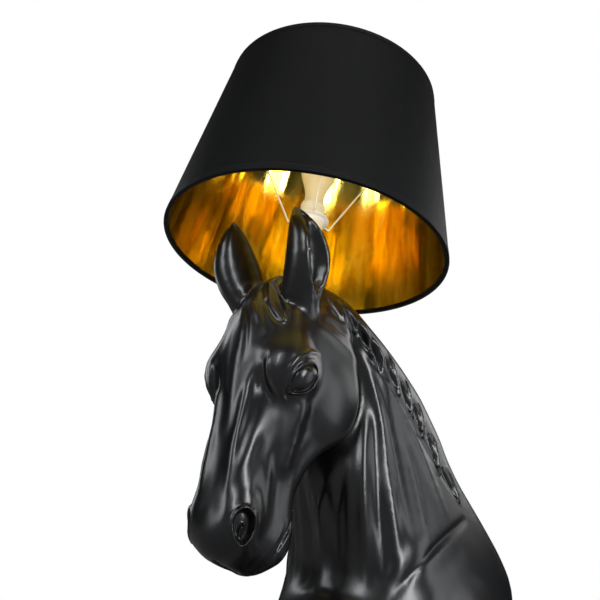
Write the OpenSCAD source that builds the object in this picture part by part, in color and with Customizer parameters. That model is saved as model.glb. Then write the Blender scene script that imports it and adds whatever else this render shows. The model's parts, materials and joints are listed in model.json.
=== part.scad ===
// Horse-bust lamp: a hollow cast bust that carries an E27 lampholder on the
// poll and a conical shade on a three-arm carrier.
// Millimetres. +Z is up, the horse faces -Y. The origin is the centre of the
// resting face under the base.

/* [Bust] */
// Distance from the base centre forward to the vertical lamp axis
axis_back = 320; // [314:1:326]
// Wall thickness of the cast shell
wall = 6; // [5:0.5:7]
// Radius of the rounded ends of the base
base_r = 158; // [156:1:160]
// Half distance between the two end centres of the base
base_half = 77; // [74:1:79]
// Facets round each cross-section of the bust
sec_fn = 28; // [20:4:32]

/* [Base] */
// Thickness of the felt pad
pad_t = 3; // [2:0.5:4]
// Thickness of the base board
board_t = 10; // [8:1:12]
// Diameter of the ballast disc
ballast_d = 200; // [160:10:210]
// Thickness of the ballast disc
ballast_t = 18; // [12:1:22]

/* [Shade] */
// Diameter of the shade at the bottom
shade_bottom_d = 450; // [440:5:460]
// Diameter of the shade at the top
shade_top_d = 350; // [340:5:360]
// Height of the shade
shade_h = 310; // [300:5:320]
// Height of the shade's bottom edge over the table
shade_z = 640; // [638:1:645]
// Thickness of the black outer laminate
skin_t = 0.8; // [0.6:0.1:1]
// Thickness of the foil lining
lining_t = 0.4; // [0.3:0.1:0.5]
// Wire thickness of the shade rings
ring_wire_d = 4; // [3:0.5:4]
// Wire thickness of the three carrier arms
arm_wire_d = 3; // [2.5:0.5:3.5]
// Turn of the first carrier arm about the lamp axis
arm_turn = 75; // [0:5:115]

/* [Lampholder] */
// Height of the head's seat for the stem
seat_z = 590; // [590:1:590]
// Height of the flange that the shade carrier rests on
flange_z = 698; // [696:1:699]
// Height of the lampholder's upper rim
rim_z = 729; // [728:1:730]
// Largest diameter of the bulb
bulb_d = 60; // [55:1:62]

/* [Cord and switch] */
// Diameter of the flexible cord
cord_d = 6; // [5:0.5:6]
// Middle of the hand switch, to the side
switch_x = 250; // [245:5:260]
// Middle of the hand switch, front to back
switch_y = 185; // [180:5:190]
// Tilt of the rocker to each side
rocker_tilt = 7; // [5:1:8]
// Middle of the mains plug, to the side
plug_x = 365; // [360:5:375]

/* [Hidden] */
$fn = 64;
over = 1;                     // how far a cutter runs past a face
axis_y = -axis_back;
cord_r = cord_d / 2;
cord_exit_z = 20;             // cord's height where it leaves the bust
grommet_d = 11;
base_back = base_half + base_r;
board_top = pad_t + board_t;

// ---------------------------------------------------------------- helpers

function on_axis(p) = [p[0], p[1] + axis_y, p[2]];
module lamp_axis() { translate([0, axis_y, 0]) children(); }
module along_y() { rotate([-90, 0, 0]) children(); }
module raise(z) { translate([0, 0, z]) children(); }

// Two copies, at -[x, y] and +[x, y].
module both(x = 0, y = 0) {
  for (side = [-1, 1]) translate([side * x, side * y, 0]) children();
}

module ring(outer_r, inner_r, bottom, top) {
  raise(bottom) difference() {
    cylinder(r = outer_r, h = top - bottom);
    raise(-over) cylinder(r = inner_r, h = top - bottom + 2 * over);
  }
}

// Body of revolution from an outline of [radius, z].
module turned(outline, facets = 96) {
  rotate_extrude($fn = facets) polygon(outline);
}

// Outline of stacked ridges; crest_end is where a crest ends, as a share of the pitch.
function ridges(root_r, crest_r, bottom, pitch, count, crest_end) =
  [for (i = [0 : count - 1]) each [
    [root_r, bottom + i * pitch],
    [crest_r, bottom + (i + 0.3) * pitch],
    [crest_r, bottom + (i + crest_end) * pitch],
    [root_r, bottom + (i + crest_end + 0.3) * pitch]]];

// ---------------------------------------------------------------- bust shell

hollow_fn = 18;               // facets round the inside
flare_z = 40;                 // height of the widest foot section
flare_r = base_r + 3;
flare_half = base_half + 4;
neck_join = 8;                // the hollow bridges from this neck section
head_join = 2;                // to this head section

// Neck and chest sections: [front y, front z, back y, back z, half width],
// y counted from the lamp axis, from the chest up to the poll.
neck = [
  [100,  95, 600,  92, 162],
  [120, 138, 636, 180, 158],
  [122, 190, 643, 240, 148],
  [115, 235, 625, 300, 132],
  [112, 275, 570, 358, 112],
  [112, 320, 500, 400,  98],
  [114, 362, 430, 438,  90],
  [116, 400, 375, 483,  84],
  [118, 432, 304, 530,  78],
  [115, 460, 230, 559,  72],
  [100, 478, 160, 583,  66],
  [ 66, 485, 105, 597,  60]];

// Head sections: [z, front y, back y, half width], y counted from the lamp
// axis, from the poll to the lips.
head = [
  [590,  -24,  46, 34],
  [574,  -48,  70, 50],
  [545,  -76,  92, 62],
  [515,  -91, 108, 70],
  [470, -102, 124, 79],
  [425, -106, 130, 82],
  [390, -104, 123, 78],
  [345, -100,  88, 65],
  [295,  -98,  50, 52],
  [245,  -98,  42, 46],
  [205, -100,  44, 50],
  [170,  -88,  32, 42],
  [146,  -52,   0, 24]];

// Ears: [x, y, z, radius], base to tip, y counted from the lamp axis.
ear = [
  [46,  -42, 545, 24],
  [56,  -56, 580, 32],
  [62,  -78, 612, 23],
  [61, -100, 642,  5]];

// Thin elliptical plate; y is counted from the lamp axis.
module slice(y, z, half_depth, half_width, tilt, facets) {
  translate([0, y + axis_y, z]) rotate([tilt, 0, 0])
    scale([half_width, half_depth, 1]) cylinder(r = 1, h = 1, center = true, $fn = facets);
}

module neck_slice(i, inset, facets) {
  front = [neck[i][0], neck[i][1]];
  back = [neck[i][2], neck[i][3]];
  middle = (front + back) / 2;
  chord = back - front;
  slice(middle[0], middle[1], norm(chord) / 2 - inset, neck[i][4] - inset,
    atan2(chord[1], chord[0]), facets);
}

// The top section is also lowered by the inset.
module head_slice(i, inset, facets) {
  front = head[i][1];
  back = head[i][2];
  slice((front + back) / 2, head[i][0] - 0.5 - (i == 0 ? inset : 0),
    (back - front) / 2 - inset, head[i][3] - inset, 0, facets);
}

module foot_slice(z, r, half, facets) {
  both(y = half) raise(z) cylinder(r = r, h = 1, $fn = facets);
}
module flare_slice(inset, facets) {
  foot_slice(flare_z, flare_r - inset, flare_half, facets);
}

// From the lower edge to the first neck section.
module foot_form(bottom, inset, facets) {
  hull() {
    foot_slice(bottom, base_r - inset, base_half, facets);
    flare_slice(inset, facets);
  }
  hull() {
    flare_slice(inset, facets);
    neck_slice(0, inset, facets);
  }
}

// From the first neck section up to section `last`.
module neck_form(last, inset, facets) {
  for (i = [0 : last - 1]) hull() {
    neck_slice(i, inset, facets);
    neck_slice(i + 1, inset, facets);
  }
}

module head_form() {
  for (i = [0 : len(head) - 2]) hull() {
    head_slice(i, 0, sec_fn);
    head_slice(i + 1, 0, sec_fn);
  }
}

// The cast's inside, one wall thickness in from the outside.
module hollow() {
  foot_form(pad_t - 2, wall, hollow_fn);
  neck_form(neck_join, wall, hollow_fn);
  hull() {
    neck_slice(neck_join, wall, hollow_fn);
    head_slice(head_join, wall, hollow_fn);
  }
  for (i = [0 : 2 : 8]) hull() {
    head_slice(i, wall, hollow_fn);
    head_slice(i + 1, wall, hollow_fn);
    head_slice(i + 2, wall, hollow_fn);
  }
}

module ears() {
  for (m = [0, 1], i = [0 : len(ear) - 2]) mirror([m, 0, 0]) hull() {
    for (k = [i, i + 1]) translate(on_axis(ear[k]))
      scale([0.78, 0.9, 1]) sphere(r = ear[k][3], $fn = 14);
  }
}

module bust_shell() {
  color("#17181a") difference() {
    union() {
      foot_form(pad_t, 0, sec_fn);
      neck_form(len(neck) - 1, 0, sec_fn);
      head_form();
      ears();
    }
    hollow();
    // Stem hole in the poll, cord hole in the back.
    lamp_axis() raise(seat_z - 15) cylinder(d = 10.6, h = 40, $fn = 24);
    translate([0, 200, cord_exit_z]) along_y() cylinder(d = grommet_d + 0.4, h = 80, $fn = 24);
  }
}

// ---------------------------------------------------------------- base

// Centres [x, y] of the fixing blocks and their screws
block_at = [[130, 75], [-130, 75], [130, -75], [-130, -75], [0, -208], [58, 195], [-58, 195]];
block_r = 14;
block_h = 34;
block_hole_depth = 27.5;
screw_d = 5;                  // base screws
screw_head_d = 10;
screw_head_h = 2.9;
screw_l = 36;
slot_l = 5.2;                 // each arm of the cross recess
slot_w = 1;
slot_depth = 1.5;

ballast_y = 10;
ballast_screw_x = 60;
ballast_screw_d = 5.1;
ballast_screw_reach = 8;      // below the ballast disc

clip_y = 165;
clip_screw_x = 12.5;
clip_hole_d = 3.6;

module obround(r, half, h) {
  both(y = half) cylinder(r = r, h = h);
  translate([-r, -half, 0]) cube([2 * r, 2 * half, h]);
}
module at_blocks(z) {
  for (p = block_at) translate([p[0], p[1], z]) children();
}

module felt_pad() {
  color("#2b2b2d") obround(base_r - 3, base_half, pad_t);
}

module base_board() {
  color("#8a6f4d") raise(pad_t) difference() {
    obround(base_r - wall - 4, base_half, board_t);
    at_blocks(-over) cylinder(d = screw_d + 0.4, h = board_t + 2 * over);
    at_blocks(-0.01) cylinder(d1 = screw_head_d + 0.4, d2 = screw_d + 0.4, h = 3);
    both(x = ballast_screw_x) translate([0, ballast_y, -over])
      cylinder(d = ballast_screw_d + 0.1, h = board_t + 2 * over);
    translate([clip_screw_x, clip_y, board_t - 8]) cylinder(d = clip_hole_d, h = 8 + over);
  }
}

module base_screws() {
  color("#b9bcc0") at_blocks(pad_t) difference() {
    union() {
      cylinder(d1 = screw_head_d, d2 = screw_d, h = screw_head_h);
      cylinder(d = screw_d, h = screw_l);
    }
    for (turn = [0, 90]) rotate(turn) translate([-slot_l / 2, -slot_w / 2, -0.1])
      cube([slot_l, slot_w, slot_depth]);
  }
}

module fixing_blocks() {
  color("#b08d5c") at_blocks(board_top) difference() {
    cylinder(r = block_r, h = block_h);
    raise(-over) cylinder(d = screw_d + 0.1, h = block_hole_depth + over);
  }
}

module ballast_disc() {
  color("#4a4c50") translate([0, ballast_y, board_top]) difference() {
    cylinder(d = ballast_d, h = ballast_t);
    both(x = ballast_screw_x) raise(-over) cylinder(d = 6.4, h = ballast_t + 2 * over);
  }
}

module ballast_screws() {
  shank_l = ballast_t + ballast_screw_reach;
  color("#b9bcc0") translate([0, ballast_y, board_top + ballast_t]) both(x = ballast_screw_x) {
    cylinder(d = 12, h = 4, $fn = 6);
    raise(-shank_l) cylinder(d = ballast_screw_d, h = shank_l + 0.1);
  }
}

// ---------------------------------------------------------------- stem

stem_r = 5;
stem_clear_r = stem_r + 0.2;  // bore of the loose parts on the stem
block_z = seat_z - 32;        // underside of the head block
cup_r = 17;
cup_rim_h = 2;
cup_cone_h = 4;
cup_h = cup_rim_h + cup_cone_h;
cap_z = 642;                  // underside of the lampholder cap

module hex_nut(bottom, height) {
  raise(bottom) difference() {
    cylinder(d = 16.2, h = height, $fn = 6);
    raise(-over) cylinder(r = stem_r + 0.05, h = height + 2 * over, $fn = 48);
  }
}

module head_block() {
  color("#b08d5c") lamp_axis() ring(19, stem_clear_r, block_z, seat_z - wall - 0.6);
}
module stem_washer() {
  color("#c4c7ca") lamp_axis() ring(11, stem_clear_r, block_z - 1.8, block_z - 0.1);
}
module stem_nut() {
  color("#c4c7ca") lamp_axis() hex_nut(block_z - 8, 6);
}
module stem_tube() {
  color("#c4c7ca") lamp_axis() ring(stem_r, 3.5, seat_z - 48, 651.5);
}
module seat_cup() {
  color("#d7d9db") lamp_axis() raise(seat_z) difference() {
    union() {
      cylinder(r = cup_r, h = cup_rim_h);
      raise(cup_rim_h) cylinder(r1 = cup_r, r2 = 9, h = cup_cone_h);
    }
    raise(-over) cylinder(r = stem_clear_r, h = cup_h + 2 * over);
  }
}
module stem_sleeve() {
  color("#d7d9db") lamp_axis() ring(7, stem_clear_r, seat_z + cup_h, cap_z);
}

// ---------------------------------------------------------------- lampholder

insert_r = 15.1;
insert_z = 664;               // underside of the insert
insert_top = 690;
contact_z = insert_top + 0.02;
terminal_x = 9;
collar_r = 19.1;              // root of the collar thread
collar_crest_r = 19.7;
collar_bore_r = 19.77;        // bore of the parts round the collar
collar_ridges = 6;
nut_z = flange_z + 3.35;      // underside of the shade ring nut
nut_grooves = 16;

// Outline [radius, z]: up the outside, then down the inside
cap_outline = [
  [5.06, cap_z], [9.5, cap_z], [10.5, 643], [10.5, 647], [16.5, 650.5], [19.8, 655.5],
  [20.6, 661], [20.6, 674], [18.7, 674], [18.7, 661.5], [17.8, 657], [15, 653],
  [12, 651.2], [9, 650.4], [9, 647.2], [5.06, 647.2]];

// Outline [radius, z above nut_z]
nut_outline = [
  [collar_bore_r, 0], [27.5, 0], [28.3, 0.8], [28.3, 2.2], [27.5, 3], [23.6, 3.4],
  [23.2, 7.4], [22.4, 8], [collar_bore_r, 8]];

module lampholder_cap() { color("#d7d9db") lamp_axis() turned(cap_outline); }
module cap_locknut() { color("#c4c7ca") lamp_axis() hex_nut(647.3, 2.6); }

module lampholder_insert() {
  color("#efe9dc") lamp_axis() difference() {
    turned([[0, insert_z], [insert_r, insert_z], [insert_r, insert_top], [0, insert_top]]);
    both(x = terminal_x) raise(insert_z - 2) cylinder(d = 4.2, h = 12);
    raise(insert_z - over) cylinder(d = 6.6, h = 5 + over);
  }
}
module terminal_screws() {
  color("#c9a652") lamp_axis() both(x = terminal_x) difference() {
    raise(insert_z + 1) cylinder(d = 3.9, h = 8.5);
    translate([-2.2, -0.4, insert_z + 0.5]) cube([4.4, 0.8, 1.5]);
  }
}
module contact_shell() {
  color("#c9a652") lamp_axis() ring(13.65, 13.17, contact_z, 718);
}
module centre_contact() {
  color("#c9a652") lamp_axis() {
    translate([-2.5, -9, contact_z]) cube([5, 11, 0.6]);
    raise(insert_top + 0.3) cylinder(r1 = 4, r2 = 2.5, h = 2.2);
  }
}

// Screw skirt: a smooth lower body, the flange and a threaded collar.
module lampholder_skirt() {
  bore_r = 15.4;
  thread_z = flange_z + 0.2;
  pitch = (rim_z - 3 - thread_z) / collar_ridges;
  color("#f4f2ee") lamp_axis() turned(concat(
    [[bore_r, 662.5], [18.4, 662.5], [18.4, 674.3], [20.8, 674.3], [20.8, 690],
     [23.5, flange_z - 2.5], [23.5, flange_z], [collar_r, flange_z]],
    ridges(collar_r, collar_crest_r, thread_z, pitch, collar_ridges, crest_end = 0.6),
    [[collar_r, rim_z - 2], [18.2, rim_z], [bore_r, rim_z]]));
}

module slip_washer() {
  color("#e4e2dc") lamp_axis() ring(26, collar_bore_r, flange_z + 2.7, flange_z + 3.3);
}
module shade_ring_nut() {
  color("#f4f2ee") lamp_axis() difference() {
    raise(nut_z) turned(nut_outline);
    for (i = [0 : nut_grooves - 1]) rotate(i * 360 / nut_grooves)
      translate([28.9, 0, flange_z]) cylinder(r = 1.1, h = 14, $fn = 24);
  }
}

// ---------------------------------------------------------------- bulb

e27_pitch = 3.62;
bulb_thread_root_r = 12.4;
bulb_thread_r = 13.1;
bulb_contact_z = 692.7;
bulb_contact_cone_h = 1.4;
bulb_cap_z = 694.55;
bulb_cap_top = rim_z + 1.5;
housing_z = bulb_cap_top + 0.05;
housing_top = 791;
globe_z = housing_top + 0.05;
dome_z = 795;                 // where the globe starts to close in
dome_h = 30;
dome_steps = 14;

module bulb_contact() {
  color("#b8bcc0") lamp_axis() raise(bulb_contact_z) {
    cylinder(r1 = 3.2, r2 = 4.6, h = bulb_contact_cone_h);
    raise(bulb_contact_cone_h) cylinder(r = 4.6, h = 0.4);
  }
}
module bulb_cap() {
  color("#b8bcc0") lamp_axis() turned(concat(
    [[0, bulb_cap_z], [4.8, bulb_cap_z], [10.5, 696.2]],
    ridges(bulb_thread_root_r, bulb_thread_r, 697.5, e27_pitch, 5, crest_end = 0.5),
    [[bulb_thread_root_r, 716], [bulb_thread_r, 718],
     [bulb_thread_r, bulb_cap_top], [0, bulb_cap_top]]));
}
module bulb_housing() {
  color("#f1e9d8") lamp_axis() turned([
    [0, housing_z], [14.6, housing_z], [15.4, rim_z + 2.6], [15.6, 741],
    [16.4, 748], [18.2, 756], [20.9, 764], [24, 772], [26.8, 779.5],
    [bulb_d / 2 - 1.2, 787], [bulb_d / 2 - 0.5, housing_top], [0, housing_top]]);
}
module bulb_globe() {
  dome = [for (i = [0 : dome_steps - 1]) let (a = i * 90 / dome_steps)
    [(bulb_d / 2) * pow(cos(a), 0.92), dome_z + dome_h * sin(a)]];
  color("#fbf6ea") lamp_axis() turned(concat(
    [[0, globe_z], [bulb_d / 2 - 0.6, globe_z]], dome, [[0, dome_z + dome_h]]));
}

// ---------------------------------------------------------------- shade

shade_fn = 180;
shade_top = shade_z + shade_h;
shade_slope = (shade_bottom_d - shade_top_d) / 2 / shade_h;
layer_gap = 0.02;
trim_t = 0.5;
wire_inset_z = 2.6;           // wire centres in from the shade's edges
wire_inset_r = skin_t + lining_t + 0.1 + ring_wire_d / 2;
top_wire_z = shade_top - wire_inset_z;

function shade_r(z) = shade_bottom_d / 2 - shade_slope * (z - shade_z);
function wire_r(z) = shade_r(z) - wire_inset_r;

// Conical layer over the shade's full height, `gap` in from the outside.
module shade_layer(gap, thickness) {
  bottom_r = shade_r(shade_z) - gap;
  top_r = shade_r(shade_top) - gap;
  turned([[bottom_r - thickness, shade_z], [bottom_r, shade_z],
    [top_r, shade_top], [top_r - thickness, shade_top]], shade_fn);
}
module wire_ring(z) {
  rotate_extrude($fn = shade_fn) translate([wire_r(z), z]) circle(d = ring_wire_d, $fn = 24);
}

module shade_skin() { color("#141414") lamp_axis() shade_layer(0, skin_t); }
module shade_lining() { color("#d79a1e") lamp_axis() shade_layer(skin_t + layer_gap, lining_t); }
module shade_bottom_wire() { color("#e9e9e6") lamp_axis() wire_ring(shade_z + wire_inset_z); }

// Folded round the bottom edge and up inside the wire.
module shade_trim_bottom() {
  bottom = shade_z - 0.6;
  top = shade_z + 10;
  lip_top = shade_z + 5.4;
  fold_z = shade_z - layer_gap;
  bottom_r = shade_r(bottom);
  color("#0f0f0f") lamp_axis() turned([
    [bottom_r + trim_t, bottom], [shade_r(top) + trim_t, top], [shade_r(top) + layer_gap, top],
    [shade_r(shade_z) + layer_gap, fold_z], [bottom_r - 6.3, fold_z],
    [bottom_r - 6.6, lip_top], [bottom_r - 7.1, lip_top], [bottom_r - 6.8, bottom]], shade_fn);
}
// Folded over the top edge.
module shade_trim_top() {
  bottom = shade_top - 8;
  top = shade_top + 0.6;
  fold_z = shade_top + layer_gap;
  edge_r = shade_r(shade_top);
  color("#0f0f0f") lamp_axis() turned([
    [shade_r(bottom) + layer_gap, bottom], [shade_r(bottom) + trim_t, bottom],
    [edge_r + trim_t, top], [edge_r - 5.2, top],
    [edge_r - 5.2, fold_z], [edge_r + layer_gap, fold_z]], shade_fn);
}

module rod(from, to, d) {
  run = to - from;
  translate(from) rotate([0, acos(run[2] / norm(run)), atan2(run[1], run[0])])
    cylinder(d = d, h = norm(run), $fn = 24);
}

// Each arm runs out level from the ring, bends and rises to the top wire.
module shade_carrier() {
  arm_z = flange_z + 1.55;
  elbow = [39, 0, arm_z];
  color("#f4f2ee") lamp_axis() {
    ring(29.5, collar_bore_r, flange_z + 0.1, flange_z + 2.6);
    for (k = [0 : 2]) rotate(arm_turn + 120 * k) {
      rod([27, 0, arm_z], elbow, arm_wire_d);
      translate(elbow) sphere(d = arm_wire_d, $fn = 24);
      rod(elbow, [wire_r(top_wire_z) - 1, 0, top_wire_z - 2], arm_wire_d);
    }
    wire_ring(top_wire_z);
  }
}

// ---------------------------------------------------------------- hand switch

case_l = 72;
case_w = 27;
case_corner_r = 9;
case_wall = 2.5;
case_z = 0.05;
case_floor = case_z + 2;
case_split = 9.5;             // joint of base and cover, and the cord's height
case_top = 19;
case_screw_y = 24;
pivot_z = 14.6;
pivot_r = 1.5;
rocker_w = 12.4;

// Side view of the rocker: [distance below the pivot, y]
rocker_outline = [
  [2.6, -7], [2.6, 7], [-3.4, 11.6], [-6.6, 11.6], [-5.2, 4], [-5, 0],
  [-5.2, -4], [-6.6, -11.6], [-3.4, -11.6]];

module at_switch() { translate([switch_x, switch_y, 0]) children(); }

// Rounded block the size of the switch case, shrunk by inset.
module case_block(inset, bottom, top) {
  l = case_l - 2 * inset;
  w = case_w - 2 * inset;
  r = case_corner_r - inset;
  h = top - bottom;
  raise(bottom) {
    translate([-w / 2 + r, -l / 2, 0]) cube([w - 2 * r, l, h]);
    translate([-w / 2, -l / 2 + r, 0]) cube([w, l - 2 * r, h]);
    for (x = [-1, 1], y = [-1, 1]) translate([x * (w / 2 - r), y * (l / 2 - r), 0])
      cylinder(r = r, h = h);
  }
}
module case_cord_hole() {
  raise(case_split) rotate([90, 0, 0]) cylinder(d = cord_d + 0.6, h = 100, center = true);
}

module switch_base() {
  color("#101010") at_switch() difference() {
    case_block(0, case_z, case_split);
    case_block(case_wall, case_floor, case_split + over);
    case_cord_hole();
    both(y = case_screw_y) {
      raise(-over) cylinder(d = 3.2, h = 6);
      raise(-0.1) cylinder(d = 6, h = 1.25);
    }
  }
}
module switch_cover() {
  color("#101010") at_switch() difference() {
    case_block(0, case_split + 0.02, case_top);
    // The cavity leaves two pivot bearers and two screw posts.
    difference() {
      case_block(case_wall, case_split - over, case_top - 2);
      both(x = 9) translate([-1.5, -5, case_split]) cube([3, 10, 10]);
      both(y = case_screw_y) raise(case_split) cylinder(d = 6, h = 9);
    }
    translate([-6.6, -12.6, case_split]) cube([13.2, 25.2, 12]);
    raise(pivot_z) rotate([0, 90, 0]) cylinder(r = pivot_r + 0.06, h = 22, center = true);
    case_cord_hole();
    both(y = case_screw_y) raise(case_split - over) cylinder(d = 2.6, h = 6 + over);
  }
}
module switch_rocker() {
  color("#101010") at_switch() raise(pivot_z) rotate([-rocker_tilt, 0, 0]) difference() {
    union() {
      rotate([0, 90, 0]) cylinder(r = pivot_r, h = 19.6, center = true);
      rotate([0, 90, 0]) linear_extrude(height = rocker_w, center = true)
        polygon(rocker_outline);
    }
    // Five grooves across the +Y end.
    for (k = [-2 : 2]) translate([0, 8 + k * 1.3, 7.1]) rotate([0, 90, 0])
      cylinder(r = 0.45, h = 9, center = true, $fn = 24);
  }
}
// Two strips, each with a block at one end.
module switch_contacts() {
  color("#c9a652") at_switch() raise(case_floor + 0.02) {
    both(x = 5) translate([-1.5, -9, 0]) cube([3, 18, 0.8]);
    both(x = 5, y = 15) translate([-2.5, -3, 0]) cube([5, 6, 4]);
  }
}
module switch_screws() {
  color("#b9bcc0") at_switch() both(y = case_screw_y) raise(0.2) {
    cylinder(d = 5.6, h = 0.9);
    cylinder(d = 2.5, h = 13.5);
  }
}

// ---------------------------------------------------------------- plug

plug_y = switch_y - 34;       // cord end of the plug
plug_z = 7.4;
plug_side_x = 10.5;
plug_side_r = 6.9;
plug_body_start = 10;         // along the plug from plug_y
plug_body_l = 28;
pin_x = 9.3;
pin_start = 24;
pin_root_r = 1.8;
pin_r = 2;
pin_l = 18.4;                 // full-thickness part of a pin

// Plug frame: local z runs along +Y towards the pins.
module at_plug() { translate([plug_x, plug_y, plug_z]) along_y() children(); }

module plug_body() {
  color("#101010") at_plug() difference() {
    union() {
      cylinder(d1 = 9.4, d2 = 12, h = 12);
      both(x = plug_side_x) raise(plug_body_start) cylinder(r = plug_side_r, h = plug_body_l);
      translate([-plug_side_x, -plug_side_r, plug_body_start])
        cube([2 * plug_side_x, 2 * plug_side_r, plug_body_l]);
    }
    raise(-over) cylinder(d = cord_d + 0.1, h = 6 + over);
    both(x = pin_x) raise(pin_start) cylinder(r = pin_root_r + 0.02, h = 15);
  }
}
module plug_pins() {
  color("#c4c7ca") at_plug() both(x = pin_x) raise(pin_start + 0.1) {
    cylinder(r = pin_root_r, h = 14);
    raise(13.95) cylinder(r = pin_r, h = pin_l);
    raise(13.95 + pin_l) cylinder(r1 = pin_r, r2 = 1.2, h = 0.8);
  }
}

// ---------------------------------------------------------------- cord

span_steps = 4;               // path steps between two listed points
tube_sides = 10;

// Cord from the lampholder down inside the bust: [x, y from the lamp axis, z]
inner_run = [
  [0, 0, 663.5], [0, 0, 620], [0, 0, 565], [0, 0, 538], [0, 2, 516], [0, 22, 494],
  [0, 80, 482], [0, 160, 440], [0, 240, 350], [0, 320, 230], [0, 390, 110], [0, 435, 50]];

// On through the clip and grommet and over the table to the switch: [x, y, z]
floor_run = [
  [0, 146, 21], [0, 158, cord_exit_z], [0, 180, cord_exit_z], [0, 247, cord_exit_z],
  [0, 254, cord_exit_z], [3, 272, 16], [20, 304, 5], [58, 332, cord_r],
  [120, 344, cord_r], [190, 332, cord_r], [236, 298, cord_r],
  [switch_x - 1, 262, 4.2], [switch_x, switch_y + 50, 8],
  [switch_x, switch_y + 41, case_split], [switch_x, switch_y + 34, case_split]];

// From the switch to the plug: [x, y, z]
tail_run = [
  [switch_x, switch_y - 34, case_split], [switch_x, switch_y - 41, case_split],
  [switch_x, switch_y - 52, 7.6], [switch_x + 1, switch_y - 72, 3.6],
  [switch_x + 8, switch_y - 104, cord_r], [switch_x + 36, switch_y - 135, cord_r],
  [switch_x + 80, switch_y - 136, cord_r], [plug_x - 4, switch_y - 100, cord_r],
  [plug_x, switch_y - 66, 4.5], [plug_x, plug_y - 8, plug_z],
  [plug_x, plug_y - 1.5, plug_z], [plug_x, plug_y + 4, plug_z]];

// Catmull-Rom point between b and c at t = 0..1.
function spline(a, b, c, d, t) = 0.5 * (2 * b + (c - a) * t
  + (2 * a - 5 * b + 4 * c - d) * t * t + (3 * b - a - 3 * c + d) * t * t * t);
function smooth_path(p) = let (last = len(p) - 1) concat(
  [for (i = [0 : last - 1], k = [0 : span_steps - 1])
    spline(p[max(i - 1, 0)], p[i], p[i + 1], p[min(i + 2, last)], k / span_steps)],
  [p[last]]);
function unit(v) = v / max(norm(v), 1e-9);
function tangent(p, i) = unit(p[min(i + 1, len(p) - 1)] - p[max(i - 1, 0)]);
// Direction square to tangent t, from X, or from Z where t runs close to X.
function side_of(t) = unit(cross(t, abs(t[0]) < 0.9 ? [1, 0, 0] : [0, 0, 1]));

// Round tube of the cord's radius along a smoothed path.
module cord(stations) {
  path = smooth_path(stations);
  last = len(path) - 1;
  sides = tube_sides;
  points = [for (i = [0 : last])
    let (t = tangent(path, i), u = side_of(t), v = cross(t, u))
    for (k = [0 : sides - 1]) let (a = 360 * k / sides)
      path[i] + cord_r * (cos(a) * u + sin(a) * v)];
  faces = concat(
    [[for (k = [0 : sides - 1]) k]],
    [for (i = [0 : last - 1], k = [0 : sides - 1])
      let (near = i * sides, far = near + sides, next = (k + 1) % sides)
      each [[near + k, far + k, near + next], [far + k, far + next, near + next]]],
    [[for (k = [sides - 1 : -1 : 0]) last * sides + k]]);
  polyhedron(points = points, faces = faces, convexity = 6);
}

module lamp_cord() {
  color("#101010") cord(concat([for (p = inner_run) on_axis(p)], floor_run));
}
module mains_cord() { color("#101010") cord(tail_run); }

module cord_grommet() {
  color("#0c0c0c") raise(cord_exit_z) along_y() difference() {
    union() {
      raise(base_back - wall - 6) cylinder(d = grommet_d, h = wall + 12);
      raise(base_back + 5.2) cylinder(d1 = 15, d2 = 9.5, h = 6);
    }
    raise(200) cylinder(d = cord_d + 0.5, h = 90);
  }
}

clip_r = 5;
clip_l = 8;                   // along the cord
clip_foot_t = 2;
clip_cord_z = 7;              // cord's height over the board

module cord_clip() {
  corner = [-clip_r, -clip_l / 2, 0];
  color("#efefef") translate([0, clip_y, board_top]) difference() {
    union() {
      translate(corner) cube([22, clip_l, clip_foot_t]);
      translate([0, -clip_l / 2, clip_cord_z]) along_y() cylinder(r = clip_r, h = clip_l);
      translate(corner) cube([2 * clip_r, clip_l, clip_cord_z]);
    }
    translate([0, -6, clip_cord_z]) along_y() cylinder(d = cord_d + 0.4, h = 12);
    translate([clip_screw_x, 0, -over]) cylinder(d = clip_hole_d, h = clip_foot_t + 2 * over);
  }
}
module clip_screw() {
  color("#b9bcc0") translate([clip_screw_x, clip_y, board_top]) {
    raise(clip_foot_t) cylinder(d = 6.5, h = 2);
    cylinder(d = 3.4, h = clip_foot_t + 0.1);
  }
}

// ---------------------------------------------------------------- all nodes

bust_shell();
base_board();
felt_pad();
base_screws();
fixing_blocks();
ballast_disc();
ballast_screws();
head_block();
stem_tube();
stem_nut();
stem_washer();
seat_cup();
stem_sleeve();
lampholder_cap();
cap_locknut();
lampholder_insert();
terminal_screws();
contact_shell();
centre_contact();
lampholder_skirt();
shade_ring_nut();
slip_washer();
bulb_contact();
bulb_cap();
bulb_housing();
bulb_globe();
shade_carrier();
shade_bottom_wire();
shade_skin();
shade_lining();
shade_trim_bottom();
shade_trim_top();
lamp_cord();
cord_grommet();
cord_clip();
clip_screw();
switch_base();
switch_cover();
switch_rocker();
switch_contacts();
switch_screws();
mains_cord();
plug_body();
plug_pins();
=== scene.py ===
# Table lamp: a hollow cast horse's head and neck on a low plinth, a tapered shade above the head
# and a switched mains cord lying on the floor.
# The horse faces -y and +x is its left; z is up from the floor. The frame is in metres.
# Shapes are worked out in millimetres; the horse's y is counted from the lamp axis.
import itertools
import json
import math

import bpy
import bmesh
import numpy as np
from mathutils import Matrix, Vector

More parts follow.
